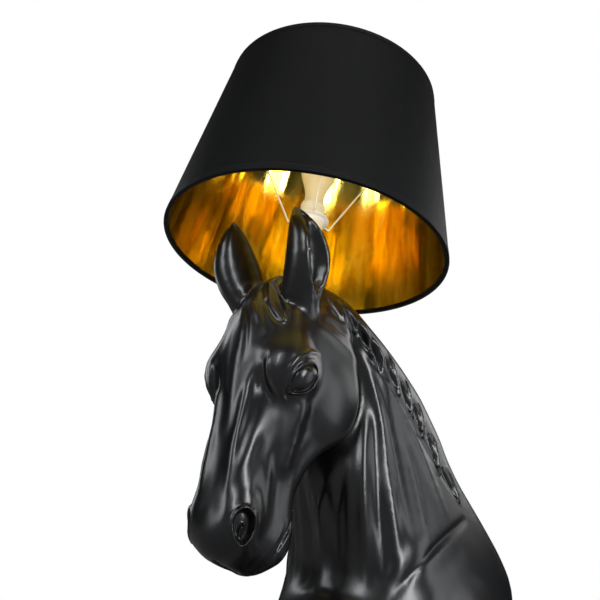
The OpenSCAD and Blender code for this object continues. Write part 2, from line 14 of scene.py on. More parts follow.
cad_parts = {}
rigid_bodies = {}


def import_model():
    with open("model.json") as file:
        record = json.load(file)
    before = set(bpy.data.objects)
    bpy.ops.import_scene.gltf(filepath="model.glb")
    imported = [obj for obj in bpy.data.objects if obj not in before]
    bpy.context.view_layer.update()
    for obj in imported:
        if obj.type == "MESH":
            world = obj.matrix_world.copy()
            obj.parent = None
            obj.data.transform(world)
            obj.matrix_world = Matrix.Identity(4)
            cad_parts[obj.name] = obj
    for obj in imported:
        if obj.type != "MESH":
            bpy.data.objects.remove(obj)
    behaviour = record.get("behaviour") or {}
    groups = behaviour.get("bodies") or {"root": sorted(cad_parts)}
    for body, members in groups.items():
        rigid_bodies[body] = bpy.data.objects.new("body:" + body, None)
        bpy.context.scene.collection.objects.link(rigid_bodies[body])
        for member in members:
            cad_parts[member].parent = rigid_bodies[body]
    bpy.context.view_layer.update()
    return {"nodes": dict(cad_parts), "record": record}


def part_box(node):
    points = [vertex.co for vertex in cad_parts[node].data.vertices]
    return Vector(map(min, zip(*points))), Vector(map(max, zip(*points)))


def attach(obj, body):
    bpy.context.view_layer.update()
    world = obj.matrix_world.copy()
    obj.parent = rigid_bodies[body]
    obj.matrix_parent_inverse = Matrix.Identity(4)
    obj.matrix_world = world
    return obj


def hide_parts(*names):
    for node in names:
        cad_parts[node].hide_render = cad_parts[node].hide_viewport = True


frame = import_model()
nodes = frame["nodes"]
MM = 0.001

# the lamp axis, read from the frame
cup_low, cup_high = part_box("seat_cup")
AXIS_Y = (cup_low.y + cup_high.y) / 2
AXIS_MM = AXIS_Y / MM


def table(text, columns):
    """Numbers in text as rows of the given length."""
    return np.array(text.split(), float).reshape(-1, columns)


# ---------------------------------------------------------------- tables of the horse
# side outline of neck and chest: y, z
CREST = table("""
    -20 550  0 578  22 592  50 598  78 600  110 597  150 586  205 568  257 549  304 530  345 505
    382 478  410 449  446 421  487 396  531 371  575 348  615 318  638 276  645 228  634 170
    610 110  582 55  562 3  545 -60  525 -170""", 2)
FRONT = table("""
    110 -170  100 -60  92 3  92 40  97 76  104 98  113 114  129 128  150 142  166 162  168 195
    154 238  133 285  117 335  116 400  120 455  100 500""", 2)
# head, from the top down: z, then the y of the face, the y of the jaw, or half the width
HEAD_FRONT = table("""
    590 -30  575 -48  560 -64  540 -79  500 -95  460 -103  420 -106  380 -103  340 -99  300 -97
    260 -96  230 -97  205 -97  185 -91  168 -80  154 -63  146 -45""", 2)
HEAD_BACK = table("""
    590 50  560 88  520 108  480 121  450 128  425 131  395 125  370 111  348 92  328 72  301 54
    266 43  229 47  210 52  187 50  168 40  156 26  146 4""", 2)
HEAD_WIDTH = table("""
    592 26  575 44  550 56  520 67  480 73  440 76  410 75  380 71  350 63  320 55  290 48
    260 43  235 42  210 44  190 43  172 38  158 29  146 17""", 2)
# z, depth over which the head rounds off at the front and at the back
FRONT_ROUNDING = table("""
    590 60  540 78  460 84  410 82  350 72  300 58  250 52  200 46  160 34  146 20""", 2)
BACK_ROUNDING = table("""
    590 40  500 60  430 44  380 36  330 36  280 34  240 34  200 32  160 28  146 18""", 2)
# neck: y, z, then half the width, or the depth over which the side rounds off
NECK_WIDTH = table("""
    60 560 54  130 560 60  150 500 72  230 500 76  130 430 66  210 420 80  320 480 78
    330 400 92  125 330 70  200 300 92  410 400 92  420 300 122  520 340 108  520 240 140
    610 280 112  130 220 84  230 180 128  120 130 100  380 150 156  600 150 148  100 40 140
    300 30 160  450 30 160  570 40 150""", 3)
NECK_ROUNDING = table("""
    60 560 54  140 560 62  280 530 68  400 440 76  520 360 92  125 430 58  115 330 60
    118 250 66  125 180 84  115 120 115  92 30 150  380 200 120  300 20 158  560 20 158
    640 230 130  600 320 108  290 400 80""", 3)

# Carved lines: height (negative for a groove), half width, fades in, fades out, points x y z.
# The forelock is carved once; the other lines are mirrored to both sides.
FORELOCK = [
    # broad strand, then the groove beside it
    (1.4, 5.0, 0, 1, """-34 -77 537  -25 -84 515  -14 -92 490  -3 -100 464  2 -103 437
     3 -104 408  4 -102 374  6 -99 337  9 -98 300  12 -97 264"""),
    (-1.2, 5.5, 1, 1, """-25 -93 486  -22 -98 453  -19 -101 420  -15 -101 388  -10 -100 356
     -6 -98 323"""),
    # second strand and groove
    (1.1, 3.4, 0, 1, "-31 -74 548  -14 -85 519  1 -94 490  11 -100 462  18 -102 434"),
    (-1.6, 3.0, 0, 1, """-31 -74 541  -13 -88 508  1 -97 480  9 -101 455  13 -103 432
     14 -104 409"""),
    # third strand and groove
    (1.8, 3.2, 0, 1, "-25 -65 551  -4 -82 519  12 -92 491  25 -96 468"),
    (-2.2, 2.8, 0, 1, "-8 -72 548  7 -83 521  19 -90 497  29 -92 477  37 -92 459"),
    # short leaf-shaped lock: three ridges, then a groove on either side
    (1.8, 1.8, 0, 0, "7 -73 547  18 -81 523  29 -85 502  41 -84 487  53 -81 477"),
    (1.6, 3.4, 0, 1, "9 -74 544  24 -79 521  38 -81 500  51 -81 481"),
    (1.6, 1.7, 0, 0, "14 -75 542  28 -77 523  41 -79 502  54 -80 478"),
    (-2.4, 2.4, 0, 1, "19 -73 542  36 -75 520  49 -76 498  59 -77 476"),
    (-2.0, 2.4, 0, 1, "18 -88 510  30 -88 492  43 -85 477  57 -80 468"),
    # short strand on the right
    (2.0, 2.6, 1, 1, "-41 -78 524  -48 -77 510  -51 -79 492  -51 -83 473"),
]
FACE = [
    # long line from brow to nose
    (1.0, 5.5, 0, 1, """-38 -76 521  -44 -82 491  -49 -87 460  -49 -92 431  -45 -93 401
     -37 -93 365  -24 -94 322  -13 -96 276  -5 -97 235  1 -98 197"""),
    # edge of the nasal bone, and the hollow beside it
    (3.4, 4.4, 1, 1, """34 -100 413  28 -99 391  25 -98 365  23 -98 337  22 -97 308  22 -97 280
     23 -96 253  25 -96 226"""),
    (-3.6, 9.0, 1, 1, "39 -98 426  38 -95 390  36 -93 357  33 -93 327  30 -94 299  27 -95 272"),
    # facial crest, and the hollow below it
    (1.7, 6.5, 1, 1, """46 -81 363  44 -80 344  41 -81 323  38 -84 298  33 -89 272  29 -93 249
     25 -96 231"""),
    (-1.0, 7.0, 1, 1, "54 -59 340  49 -65 314  45 -71 288  43 -76 262  44 -80 238"),
    # orbit rim and groove
    (3.4, 2.0, 1, 1, "52 -97 418  51 -94 402  52 -89 388  54 -80 377  57 -70 367"),
    (-3.4, 2.6, 1, 1, "44 -98 414  44 -95 399  45 -89 384  49 -81 372  54 -71 361"),
    # upper lid from the outside in: fold, crease, ridge, crease, edge
    (3.0, 2.2, 1, 1, "72 -81 396  77 -77 409  80 -69 423  81 -54 435  78 -34 445  75 -14 450"),
    (-2.8, 1.4, 1, 1, "70 -71 382  75 -73 395  80 -71 408  83 -63 419  83 -50 429  81 -34 438"),
    (2.2, 1.3, 1, 1, "73 -71 386  77 -72 398  82 -68 410  84 -60 421  84 -48 429  82 -34 435"),
    (-2.8, 1.3, 1, 1, "73 -68 384  78 -69 399  83 -65 411  85 -56 420  86 -44 427"),
    (1.2, 1.3, 0, 0, "73 -64 381  76 -67 391  80 -67 402  84 -61 413  85 -51 420  85 -37 426"),
    # lower lid
    (1.6, 1.4, 0, 0, "71 -60 376  76 -43 385  79 -30 396  80 -24 408  81 -21 418"),
    # tear duct: groove and ridge
    (-2.0, 1.4, 0, 1, "71 -68 382  67 -65 375  65 -58 368"),
    (1.2, 1.5, 1, 1, "67 -72 379  63 -66 371  62 -58 364"),
    # edge of the jaw
    (2.0, 3.0, 1, 1, """44 122 488  47 132 463  49 136 437  48 135 410  41 130 386  26 123 363
     4 116 342"""),
    # cheek: groove and ridge
    (-0.8, 5.0, 1, 1, "71 5 373  68 -13 353  64 -26 332  58 -32 311  51 -34 290"),
    (1.0, 5.5, 1, 1, "68 24 356  62 8 339  56 -1 316  50 -1 288  45 4 262  42 10 240"),
    # muzzle: groove, ridge, inner groove
    (-1.4, 6.0, 1, 1, "57 -29 305  50 -23 278  45 -18 251  43 -16 224  43 -20 199"),
    (1.7, 4.5, 1, 1, "47 -59 302  46 -52 285  45 -44 264  44 -38 239  44 -35 214  44 -35 192"),
    (-1.2, 5.0, 1, 1, "44 -67 270  47 -63 248  49 -60 227  50 -56 207  46 -53 187  38 -50 168"),
    # nostril rim: top, rear, bottom
    (1.3, 2.0, 1, 1, "35 -91 197  39 -89 208  42 -85 216  47 -79 220  51 -71 220"),
    (1.6, 1.6, 1, 1, "51 -71 220  52 -64 209  51 -58 197  48 -55 183"),
    (1.2, 1.8, 1, 1, "36 -88 190  38 -79 180  41 -69 176  45 -60 176"),
    # lower lip, cleft at the front of the lips, upper lip, mouth
    (3.4, 1.8, 1, 1, "43 21 213  42 14 199  39 7 185  34 1 171  26 -2 157"),
    (-4.5, 1.8, 1, 1, "-1 -73 154  0 -56 151  1 -36 148  1 -15 146"),
    (1.2, 2.6, 1, 1, "43 7 221  42 0 204  40 -7 188  33 -14 172  24 -20 158"),
    (-8.0, 1.7, 1, 1, """40 24 229  41 21 218  42 15 205  41 9 191  36 3 176  27 -2 162
     16 -5 150"""),
]
NECK = [
    # across the neck behind the cheek: ridge and groove
    (2.6, 5.5, 1, 1, "69 -34 492  70 3 492  70 38 488  64 75 483  56 111 473  51 139 459"),
    (-2.4, 5.0, 1, 1, "68 -7 513  66 32 512  61 73 508  57 109 499  56 137 483"),
    # long muscle down the neck: ridge and groove
    (4.0, 5.6, 1, 1, """48 92 526  52 114 510  58 135 488  64 152 460  70 165 425  77 177 383
     84 188 334  92 199 283  100 209 233  107 219 183"""),
    (-2.6, 6.0, 1, 1, """54 121 514  63 145 484  70 167 451  77 187 413  84 204 371  93 217 325
     103 228 281  114 237 239"""),
    # two ridges behind it
    (2.6, 6.5, 1, 1, """71 160 494  76 197 468  82 231 439  88 261 407  95 287 374  105 310 339
     116 329 303"""),
    (2.0, 6.5, 1, 1, "83 222 402  90 237 371  98 249 335  108 257 294  119 262 249"),
    # muscle along the throat: ridge and groove
    (4.2, 5.6, 1, 1, """55 144 434  58 145 399  60 146 361  61 152 319  63 162 274  65 175 223
     68 187 167"""),
    (-4.2, 5.5, 1, 1, "65 156 430  70 161 387  74 167 342  79 177 292  85 191 237  92 205 179"),
    # front of the throat: groove, ridge, groove
    (-4.6, 6.5, 1, 1, "41 127 350  36 134 314  31 144 272  29 158 220  30 170 162"),
    (3.6, 5.0, 1, 1, "18 120 328  8 132 292  0 146 250  -1 157 202  7 160 151"),
    (-3.2, 6.0, 1, 1, "-7 123 311  -18 140 270  -21 153 216  -12 159 150"),
    # shoulder: crease, ridge, broad hollow
    (-4.6, 4.2, 1, 1, """96 205 155  105 219 179  114 236 205  119 263 233  121 299 262
     119 344 291  114 395 322"""),
    (1.4, 7.0, 1, 1, "84 198 170  95 209 195  105 223 219  111 245 245  114 278 272  115 317 300"),
    (-2.2, 13.0, 1, 1, "106 215 156  118 239 178  127 272 202  131 317 230  131 369 261"),
    # groove along the lower edge of the mane
    (-2.0, 3.0, 1, 1, """74 -41 529  63 19 530  58 76 524  61 124 509  68 162 487  76 197 466
     81 233 443  87 272 416  96 317 384  106 367 348"""),
]
# the mane, from the poll down; each line of text is one stroke of four points
MANE_TUFT_RIDGES = """44 41 572  52 43 557  59 46 541  65 49 525
    62 130 541  66 143 529  69 153 516  71 158 500"""
MANE_RIDGES = """48 41 567  51 61 559  52 78 549  53 93 536
    56 102 556  59 115 543  61 126 529  62 133 513
    65 170 533  70 182 516  74 193 495  77 201 472
    72 223 508  76 231 490  79 238 471  81 243 449
    78 263 481  80 272 465  83 275 447  85 274 425
    83 309 444  87 318 423  92 322 401  96 322 378
    92 351 398  97 365 382  101 374 365  106 377 348"""
MANE_EDGES = """57 -2 546  60 13 537  63 30 530  65 49 524
    52 46 558  54 58 547  54 74 539  52 92 535
    54 94 540  55 108 529  57 121 520  61 133 512"""
MANE_GROOVES = """53 9 555  57 23 545  61 35 536  64 44 528
    49 61 567  52 76 556  54 90 544  54 103 532
    56 91 553  57 105 541  58 117 529  60 129 519
    60 121 538  64 134 524  67 145 509  69 154 492
    70 159 521  72 172 506  74 185 491  76 196 477
    76 206 495  77 219 481  79 229 467  80 238 454
    79 248 472  81 259 458  83 266 444  84 271 431
    85 294 436  88 306 418  92 314 400  95 320 384
    94 334 390  98 350 375  102 363 362  105 375 350"""
MANE = [(*stroke, line)
        for stroke, lines in (((3.6, 2.3, 1, 1), MANE_TUFT_RIDGES), ((3.6, 2.3, 1, 0), MANE_RIDGES),
                              ((1.6, 1.9, 1, 0), MANE_EDGES), ((-7.5, 2.8, 1, 1), MANE_GROOVES))
        for line in lines.splitlines()]

# outlines of the left eye and nostril: x, y, z
EYE = table("""
    71.7 -62.4 378.9  75.2 -67.9 387.4  81.1 -69.2 401.7  85.7 -62.3 412.7  87.0 -49.1 420.1
    83.6 -31.6 423.1  82.4 -25.6 416.4  82.8 -27.4 408.2  81.5 -31.6 396.2  78.5 -42.9 384.9
    75.3 -53.5 380.6""", 3)
NOSTRIL = table("""
    37.4 -88.6 195.2  38.4 -83.5 184.1  40.2 -75.2 175.7  42.5 -68.6 174.2  46.6 -64.4 180.1
    50.5 -62.2 190.6  52.7 -64.5 202.6  51.9 -70.5 212.9  48.8 -78.0 216.6  45.0 -83.9 215.1
    40.2 -88.8 207.6""", 3)

# the left ear: its axis, the way its cup opens, and across the cup
EAR_BASE = np.array([50., -50., 536.])
EAR_TIP = np.array([60., -108., 645.])
EAR_LENGTH = np.linalg.norm(EAR_TIP - EAR_BASE)
EAR_AXIS = (EAR_TIP - EAR_BASE) / EAR_LENGTH
EAR_OPEN = np.array([0.96, 0.10, 0.])
EAR_OPEN -= (EAR_OPEN @ EAR_AXIS) * EAR_AXIS
EAR_OPEN /= np.linalg.norm(EAR_OPEN)
EAR_ACROSS = np.cross(EAR_AXIS, EAR_OPEN)

# sculpting grid spacing where the detail is, and far from it; spacing of the inner wall
FINE, COARSE, INNER = 4.25, 10, 11.8


# ---------------------------------------------------------------- curves and surfaces
def read_smooth(rows, z, blur):
    """Reads a (z, value) table, listed from the top down, as a Gaussian-blurred curve."""
    heights, values = rows[::-1].T
    grid = np.arange(-60., 760., 2.)
    curve = np.interp(grid, heights, values)
    offsets = np.arange(-20, 21) * 2.
    kernel = np.exp(-offsets * offsets / (2 * blur * blur))
    kernel /= kernel.sum()
    curve = np.convolve(np.pad(curve, 20, mode="edge"), kernel, mode="valid")
    return np.interp(z, grid, curve)


def polygon_distance(polygon, across, up):
    """Signed distance to a closed polygon, positive inside."""
    squared = np.full(across.shape, 1e12)
    inside = np.zeros(across.shape, bool)
    for start, end in zip(polygon, np.roll(polygon, -1, axis=0)):
        edge = end - start
        aside = across - start[0]
        above = up - start[1]
        t = np.clip((aside * edge[0] + above * edge[1]) / (edge @ edge), 0, 1)
        squared = np.minimum(squared, (aside - t * edge[0]) ** 2 + (above - t * edge[1]) ** 2)
        crosses = (start[1] > up) != (end[1] > up)
        with np.errstate(divide="ignore", invalid="ignore"):
            crossing = edge[0] * above / edge[1] + start[0]
        inside ^= crosses & (across < crossing)
    return np.where(inside, 1, -1) * np.sqrt(squared)


def spline(points, steps):
    """Catmull-Rom curve through open points."""
    points = np.asarray(points, float)
    last = len(points) - 1
    curve = []
    for i in range(last):
        before, start, end, after = points[[max(i - 1, 0), i, i + 1, min(i + 2, last)]]
        for k in range(steps):
            t = k / steps
            curve.append(0.5 * (2 * start + (end - before) * t
                                + (2 * before - 5 * start + 4 * end - after) * t * t
                                + (3 * start - before - 3 * end + after) * t ** 3))
    curve.append(points[-1])
    return np.array(curve)


def resample(curve, spacing, extra):
    """Even points along a curve, and the share of its length at each."""
    lengths = np.linalg.norm(np.diff(curve, axis=0), axis=1)
    along = np.concatenate([[0], np.cumsum(lengths)])
    places = np.linspace(0, along[-1], int(along[-1] / spacing) + extra)
    points = np.stack([np.interp(places, along, curve[:, k]) for k in range(3)], 1)
    return points, places / along[-1]


def blend_min(a, b, radius):
    share = np.clip(0.5 + 0.5 * (b - a) / radius, 0, 1)
    return b * (1 - share) + a * share - radius * share * (1 - share)


def blend_max(a, b, radius):
    return -blend_min(-a, -b, radius)


def thin_plate(controls, y, z):
    """Slightly relaxed thin-plate surface through rows of (y, z, value)."""
    scale, relax = 300., 1e-2

    def bend(squared):
        return 0.5 * squared * np.log(squared + 1e-12)

    places = controls[:, :2] / scale
    count = len(controls)
    pairs = bend(((places[:, None] - places[None]) ** 2).sum(2)) + relax * np.eye(count)
    plane = np.hstack([np.ones((count, 1)), places])
    system = np.block([[pairs, plane], [plane.T, np.zeros((3, 3))]])
    weights = np.linalg.solve(system, np.concatenate([controls[:, 2], np.zeros(3)]))
    y = y / scale
    z = z / scale
    value = weights[count] + weights[count + 1] * y + weights[count + 2] * z
    for i in range(count):
        value = value + weights[i] * bend((y - places[i, 0]) ** 2 + (z - places[i, 1]) ** 2)
    return value


# ---------------------------------------------------------------- fields, negative inside
def rounded_slab(side, width, profile, slope):
    """First-order distance to (side / width)^2 = profile."""
    value = (side / width) ** 2 - profile[None]
    return value / np.sqrt((2 * side / width ** 2) ** 2 + slope[None] ** 2 + 1e-9)


def neck_and_head(x, y, z):
    """Fields of the plain neck with chest, and of the plain head, on an open grid."""
    side = np.abs(x)
    y, z = np.broadcast_arrays(y[0], z[0])
    depth = polygon_distance(np.vstack([spline(CREST, 6), spline(FRONT, 6)]), y, z)
    width = np.clip(thin_plate(NECK_WIDTH, y, z), 45, 166)
    rounding = np.clip(thin_plate(NECK_ROUNDING, y, z), 45, 160)
    edge = np.clip(1 - depth / rounding, 0, None)
    neck = rounded_slab(side, width, 1 - edge * edge, 2 * edge / rounding)

    front_round = read_smooth(FRONT_ROUNDING, z, 12)
    back_round = read_smooth(BACK_ROUNDING, z, 12)
    front_depth = (y - read_smooth(HEAD_FRONT, z, 7)) * 0.985
    back_depth = (read_smooth(HEAD_BACK, z, 7) - y) * 0.93
    front = np.clip(1 - front_depth / front_round, 0, None)
    back = np.clip(1 - back_depth / back_round, 0, None)
    end_round = 26
    top = np.clip((z - 566) / end_round, 0, None)
    bottom = np.clip((173 - z) / end_round, 0, None)
    slope = np.sqrt((2 * front / front_round) ** 2 + (2 * back / back_round) ** 2
                    + (2 * top / end_round) ** 2 + (2 * bottom / end_round) ** 2)
    profile = 1 - front ** 2 - back ** 2 - top ** 2 - bottom ** 2
    return neck, rounded_slab(side, read_smooth(HEAD_WIDTH, z, 9), profile, slope)


def facing_rows(facing):
    """Three square axes: the facing direction, its side, and up."""
    facing = np.asarray(facing, float)
    facing /= np.linalg.norm(facing)
    up = np.array([0., 0., 1.])
    up = up - (up @ facing) * facing
    up /= np.linalg.norm(up)
    return np.array([facing, np.cross(up, facing), up])


def ellipsoid(place, centre, radii, facing=None):
    """First-order distance; the first radius lies along facing, or along x."""
    offset = [place[i] - centre[i] for i in range(3)]
    if facing is not None:
        offset = [sum(row[k] * offset[k] for k in range(3)) for row in facing_rows(facing)]
    value = np.sqrt(sum((offset[i] / radii[i]) ** 2 for i in range(3)))
    slope = np.sqrt(sum((offset[i] / radii[i] ** 2) ** 2 for i in range(3)))
    return value * (value - 1) / (slope + 1e-9)


def capsule(place, start, end, start_radius, end_radius):
    start = np.asarray(start, float)
    line = np.asarray(end, float) - start
    offset = [place[i] - start[i] for i in range(3)]
    along = offset[0] * line[0] + offset[1] * line[1] + offset[2] * line[2]
    t = np.clip(along / (line @ line), 0, 1)
    distance = np.sqrt(sum((offset[i] - t * line[i]) ** 2 for i in range(3)))
    return distance - (start_radius + (end_radius - start_radius) * t)


# masses added to the head: blend radius, shape, then the shape's arguments
HEAD_MASSES = [
    (26, ellipsoid, (56, -56, 412), (26, 38, 34), (1, -.25, .1)),  # orbit
    (20, capsule, (44, -58, 488), (55, -58, 424), 17, 25),  # brow above the orbit
    (14, ellipsoid, (46, 48, 404), (32, 66, 62), (1, .05, 0)),  # cheek
    (16, capsule, (58, -28, 362), (44, -22, 292), 13, 8),  # facial crest
    (16, capsule, (27, -84, 360), (16, -87, 222), 9, 4),  # nasal bone
    (26, capsule, (24, -76, 300), (31, -70, 212), 6, 13),  # side of the nose
    (20, ellipsoid, (33, -68, 203), (11, 22, 30), (1, -.6, 0)),  # nostril flare
    (20, ellipsoid, (0, -58, 187), (34, 35, 35)),  # lips
    (12, ellipsoid, (0, -4, 170), (28, 26, 21)),  # chin
]


def horse_field(x, y, z):
    """The horse without ears and carved detail."""
    neck, head = neck_and_head(x, y, z)
    place = (np.abs(x), y, z)
    for blend, shape, *sizes in HEAD_MASSES:
        head = blend_min(head, shape(place, *sizes), blend)
    # the shoulder stands out from the side of the neck with a soft crease
    shoulder = ellipsoid(place, (70, 395, 120), (98, 165, 150), (1, -.10, 0))
    return blend_min(blend_min(neck, head, 8), shoulder, 7)


def ear_field(place):
    """The left ear: a leaf-shaped cup that opens sideways."""
    offset = [place[i] - EAR_BASE[i] for i in range(3)]

    def along(axis):
        return offset[0] * axis[0] + offset[1] * axis[1] + offset[2] * axis[2]

    share = along(EAR_AXIS) / EAR_LENGTH
    bow = np.sin(np.pi * np.clip(share, 0, 1))
    out = along(EAR_OPEN) - 15 * bow
    across = along(EAR_ACROSS) - 3 * bow
    leaf = np.interp(share,
                     [-.4, -.15, 0, .15, .3, .45, .6, .75, .88, .96, 1.0, 1.04],
                     [.55, .74, .90, 1.0, 1.04, 1.02, .9, .7, .44, .22, .10, .02])
    thick = 32 * leaf
    shell = (np.sqrt((out / thick) ** 2 + (across / (37 * leaf)) ** 2) - 1) * thick * 0.9
    shell = np.maximum(shell, (share - 1.02) * EAR_LENGTH)
    hollow = np.interp(share,
                       [-.05, .03, .12, .3, .45, .6, .75, .88, .95, .99],
                       [0.02, .2, .52, .78, .84, .76, .56, .32, .14, .02])
    deep = 28 * hollow
    wide = 33 * hollow
    bowl = np.sqrt(((out - 27) / (deep + .01)) ** 2 + (across / (wide + .01)) ** 2)
    return blend_max(shell, -((bowl - 1) * deep * 0.8), 5.0)


def plinth_field(x, y, z):
    """The low plinth under the chest, round-ended like the base board."""
    past_end = np.maximum(np.abs(y - 320.0) - 77.0, 0)
    return blend_max(np.sqrt(x * x + past_end * past_end) - 158.0, z - 15.0, 6)


# ---------------------------------------------------------------- triangle meshes
def grid_lines(low, high, fine_low, fine_high):
    """Grid lines: fine between the fine limits, growing smoothly to coarse outside."""
    lines = list(np.arange(fine_low, fine_high + 1e-6, FINE))
    step = FINE
    while lines[-1] < high:
        step = min(step * 1.06, COARSE)
        lines.append(lines[-1] + step)
    step = FINE
    while lines[0] > low:
        step = min(step * 1.06, COARSE)
        lines.insert(0, lines[0] - step)
    return np.array(lines)


def surface_nets(field, lines):
    """Naive surface nets on a rectilinear grid: vertices, and quads facing out of field < 0."""
    inside = field < 0
    cells = tuple(size - 1 for size in field.shape)
    corners = list(itertools.product((0, 1), repeat=3))
    filled = np.zeros(cells, np.uint8)
    for corner in corners:
        filled += inside[tuple(slice(c, c + size) for c, size in zip(corner, cells))]
    cell = np.nonzero((filled > 0) & (filled < 8))
    count = len(cell[0])
    index = -np.ones(cells, np.int32)
    index[cell] = np.arange(count)
    total = np.zeros((count, 3))
    hits = np.zeros(count)
    for corner, axis in itertools.product(corners, range(3)):
        if corner[axis] == 1:
            continue
        start = [cell[i] + corner[i] for i in range(3)]
        end = list(start)
        end[axis] = start[axis] + 1
        at_start = field[tuple(start)]
        at_end = field[tuple(end)]
        crossed = (at_start < 0) != (at_end < 0)
        t = np.where(crossed, at_start / (at_start - at_end + 1e-20), 0)
        place = np.stack([lines[i][start[i]] for i in range(3)], 1).astype(float)
        place[:, axis] += t * (lines[axis][end[axis]] - place[:, axis])
        total[crossed] += place[crossed]
        hits[crossed] += 1
    quads = []
    for axis in range(3):
        low = [slice(1, -1)] * 3
        high = [slice(1, -1)] * 3
        low[axis] = slice(0, -1)
        high[axis] = slice(1, None)
        starts = inside[tuple(low)]
        crossed = np.nonzero(starts != inside[tuple(high)])
        base = [crossed[i] + int(i != axis) for i in range(3)]
        quad = []
        for back, back_next in ((1, 1), (0, 1), (0, 0), (1, 0)):
            beside = list(base)
            beside[(axis + 1) % 3] = base[(axis + 1) % 3] - back
            beside[(axis + 2) % 3] = base[(axis + 2) % 3] - back_next
            quad.append(index[tuple(beside)])
        quad = np.stack(quad, 1)
        flipped = ~starts[crossed]  # inside at the high end
        quad[flipped] = quad[flipped][:, ::-1]
        quads.append(quad)
    return total / hits[:, None], np.concatenate(quads)


def vertex_normals(verts, tris):
    a, b, c = (verts[tris[:, k]] for k in range(3))
    face_normals = np.cross(b - a, c - a)
    normals = np.zeros_like(verts)
    for k in range(3):
        np.add.at(normals, tris[:, k], face_normals)
    return normals / (np.linalg.norm(normals, axis=1, keepdims=True) + 1e-12)


def triangle_edges(tris):
    """Unique edges, and the three edges of each triangle."""
    pairs = np.sort(np.concatenate([tris[:, [0, 1]], tris[:, [1, 2]], tris[:, [2, 0]]]), axis=1)
    edges, inverse = np.unique(pairs, axis=0, return_inverse=True)
    return edges, inverse.reshape(3, -1).T


def smooth(verts, tris, rounds):
    """Smoothing that keeps the volume: each round shrinks, then swells a little more."""
    edges, _ = triangle_edges(tris)
    start, end = edges.T
    count = len(verts)
    degree = np.bincount(edges.ravel(), minlength=count).astype(float)[:, None]
    for strength in (0.5, -0.52) * rounds:
        total = np.zeros_like(verts)
        for k in range(3):
            total[:, k] = (np.bincount(start, verts[end, k], count)
                           + np.bincount(end, verts[start, k], count))
        verts = verts + (total / degree - verts) * strength
    return verts


def refine(verts, tris, picked):
    """Splits the edges of the picked triangles; new points follow the curved surface."""
    normals = vertex_normals(verts, tris)
    edges, sides = triangle_edges(tris)
    marked = np.zeros(len(edges), bool)
    marked[sides[picked].ravel()] = True
    for _ in range(400):  # two marked edges in a triangle mark the third
        paired = marked[sides].sum(1) == 2
        if not paired.any():
            break
        marked[sides[paired].ravel()] = True
    split = np.nonzero(marked)[0]
    first, second = edges[split].T
    start, end = verts[first], verts[second]
    start_normal, end_normal = normals[first], normals[second]
    rise = ((end - start) * start_normal).sum(1, keepdims=True)
    fall = ((start - end) * end_normal).sum(1, keepdims=True)
    near_start = (2 * start + end - rise * start_normal) / 3
    near_end = (2 * end + start - fall * end_normal) / 3
    middle = -np.ones(len(edges), int)
    middle[split] = len(verts) + np.arange(len(split))
    verts = np.vstack([verts, (start + 3 * near_start + 3 * near_end + end) / 8])
    middles = middle[sides]
    splits = (middles >= 0).sum(1)
    (a, b, c), (ab, bc, ca) = tris[splits == 3].T, middles[splits == 3].T
    parts = [tris[splits == 0]]
    parts += [np.stack(t, 1) for t in ((a, ab, ca), (ab, b, bc), (ca, bc, c), (ab, bc, ca))]
    for j in range(3):
        chosen = (splits == 1) & (middles[:, j] >= 0)
        cut = middles[chosen][:, j]
        a, b, c = (tris[chosen][:, (j + k) % 3] for k in range(3))
        parts += [np.stack([a, cut, c], 1), np.stack([cut, b, c], 1)]
    return verts, np.concatenate(parts)


# ---------------------------------------------------------------- the bust
def sculpt():
    """The smooth outside of the bust, open below the floor line."""
    lines = (grid_lines(-176, 176, -92, 92), grid_lines(-140, 745, -130, 130),
             grid_lines(-14, 668, 142, 650))
    x, y, z = np.ix_(*lines)
    field = blend_min(horse_field(x, y, z), plinth_field(x, y, z), 14)
    ear_y = np.nonzero((lines[1] > -160) & (lines[1] < 20))[0]
    ear_z = np.nonzero(lines[2] > 490)[0]
    block = np.ix_(np.arange(len(lines[0])), ear_y, ear_z)
    ears = ear_field((np.abs(x), y[:, ear_y], z[:, :, ear_z]))
    field[block] = blend_min(field[block], ears, 5)
    verts, quads = surface_nets(field, lines)
    # each quad is cut along its shorter diagonal
    a, b, c, d = (verts[quads[:, k]] for k in range(4))
    shorter = ((a - c) ** 2).sum(1) < ((b - d) ** 2).sum(1)
    tris = np.concatenate([quads[shorter][:, [0, 1, 2]], quads[shorter][:, [0, 2, 3]],
                           quads[~shorter][:, [0, 1, 3]], quads[~shorter][:, [1, 2, 3]]])
    return smooth(verts, tris, 5), tris


def inner_wall():
    """The inside of the cast, coarser, open at the foot."""
    lines = (np.arange(-176, 177, INNER), np.arange(-140, 690, INNER), np.arange(-14, 640, INNER))
    x, y, z = np.ix_(*lines)
    neck, head = neck_and_head(x, y, z)
    body = blend_min(neck, plinth_field(x, y, z - 12.0), 14) + 9
    field = blend_min(body, blend_max(head + 14, 400 - z, 10), 20)
    verts, quads = surface_nets(field, lines)
    tris = np.concatenate([quads[:, [0, 1, 2]], quads[:, [0, 2, 3]]])
    return smooth(verts, tris, 3), tris


def path_distance(points, path):
    """Distance of points to a dense path, and the share along it."""
    line, shares = path
    best = np.full(len(points), 1e9)
    along = np.zeros(len(points))
    for i in range(len(line) - 1):
        step = line[i + 1] - line[i]
        offset = points - line[i]
        t = np.clip((offset @ step) / (step @ step + 1e-12), 0, 1)
        squared = ((offset - t[:, None] * step) ** 2).sum(1)
        closer = squared < best
        best[closer] = squared[closer]
        along[closer] = shares[i] + t[closer] * (shares[i + 1] - shares[i])
    return np.sqrt(best), along


def near(points, around, reach):
    """Indices of the points in the box round others, widened by reach."""
    low, high = around.min(0) - reach, around.max(0) + reach
    return np.nonzero(((points > low) & (points < high)).all(1))[0]


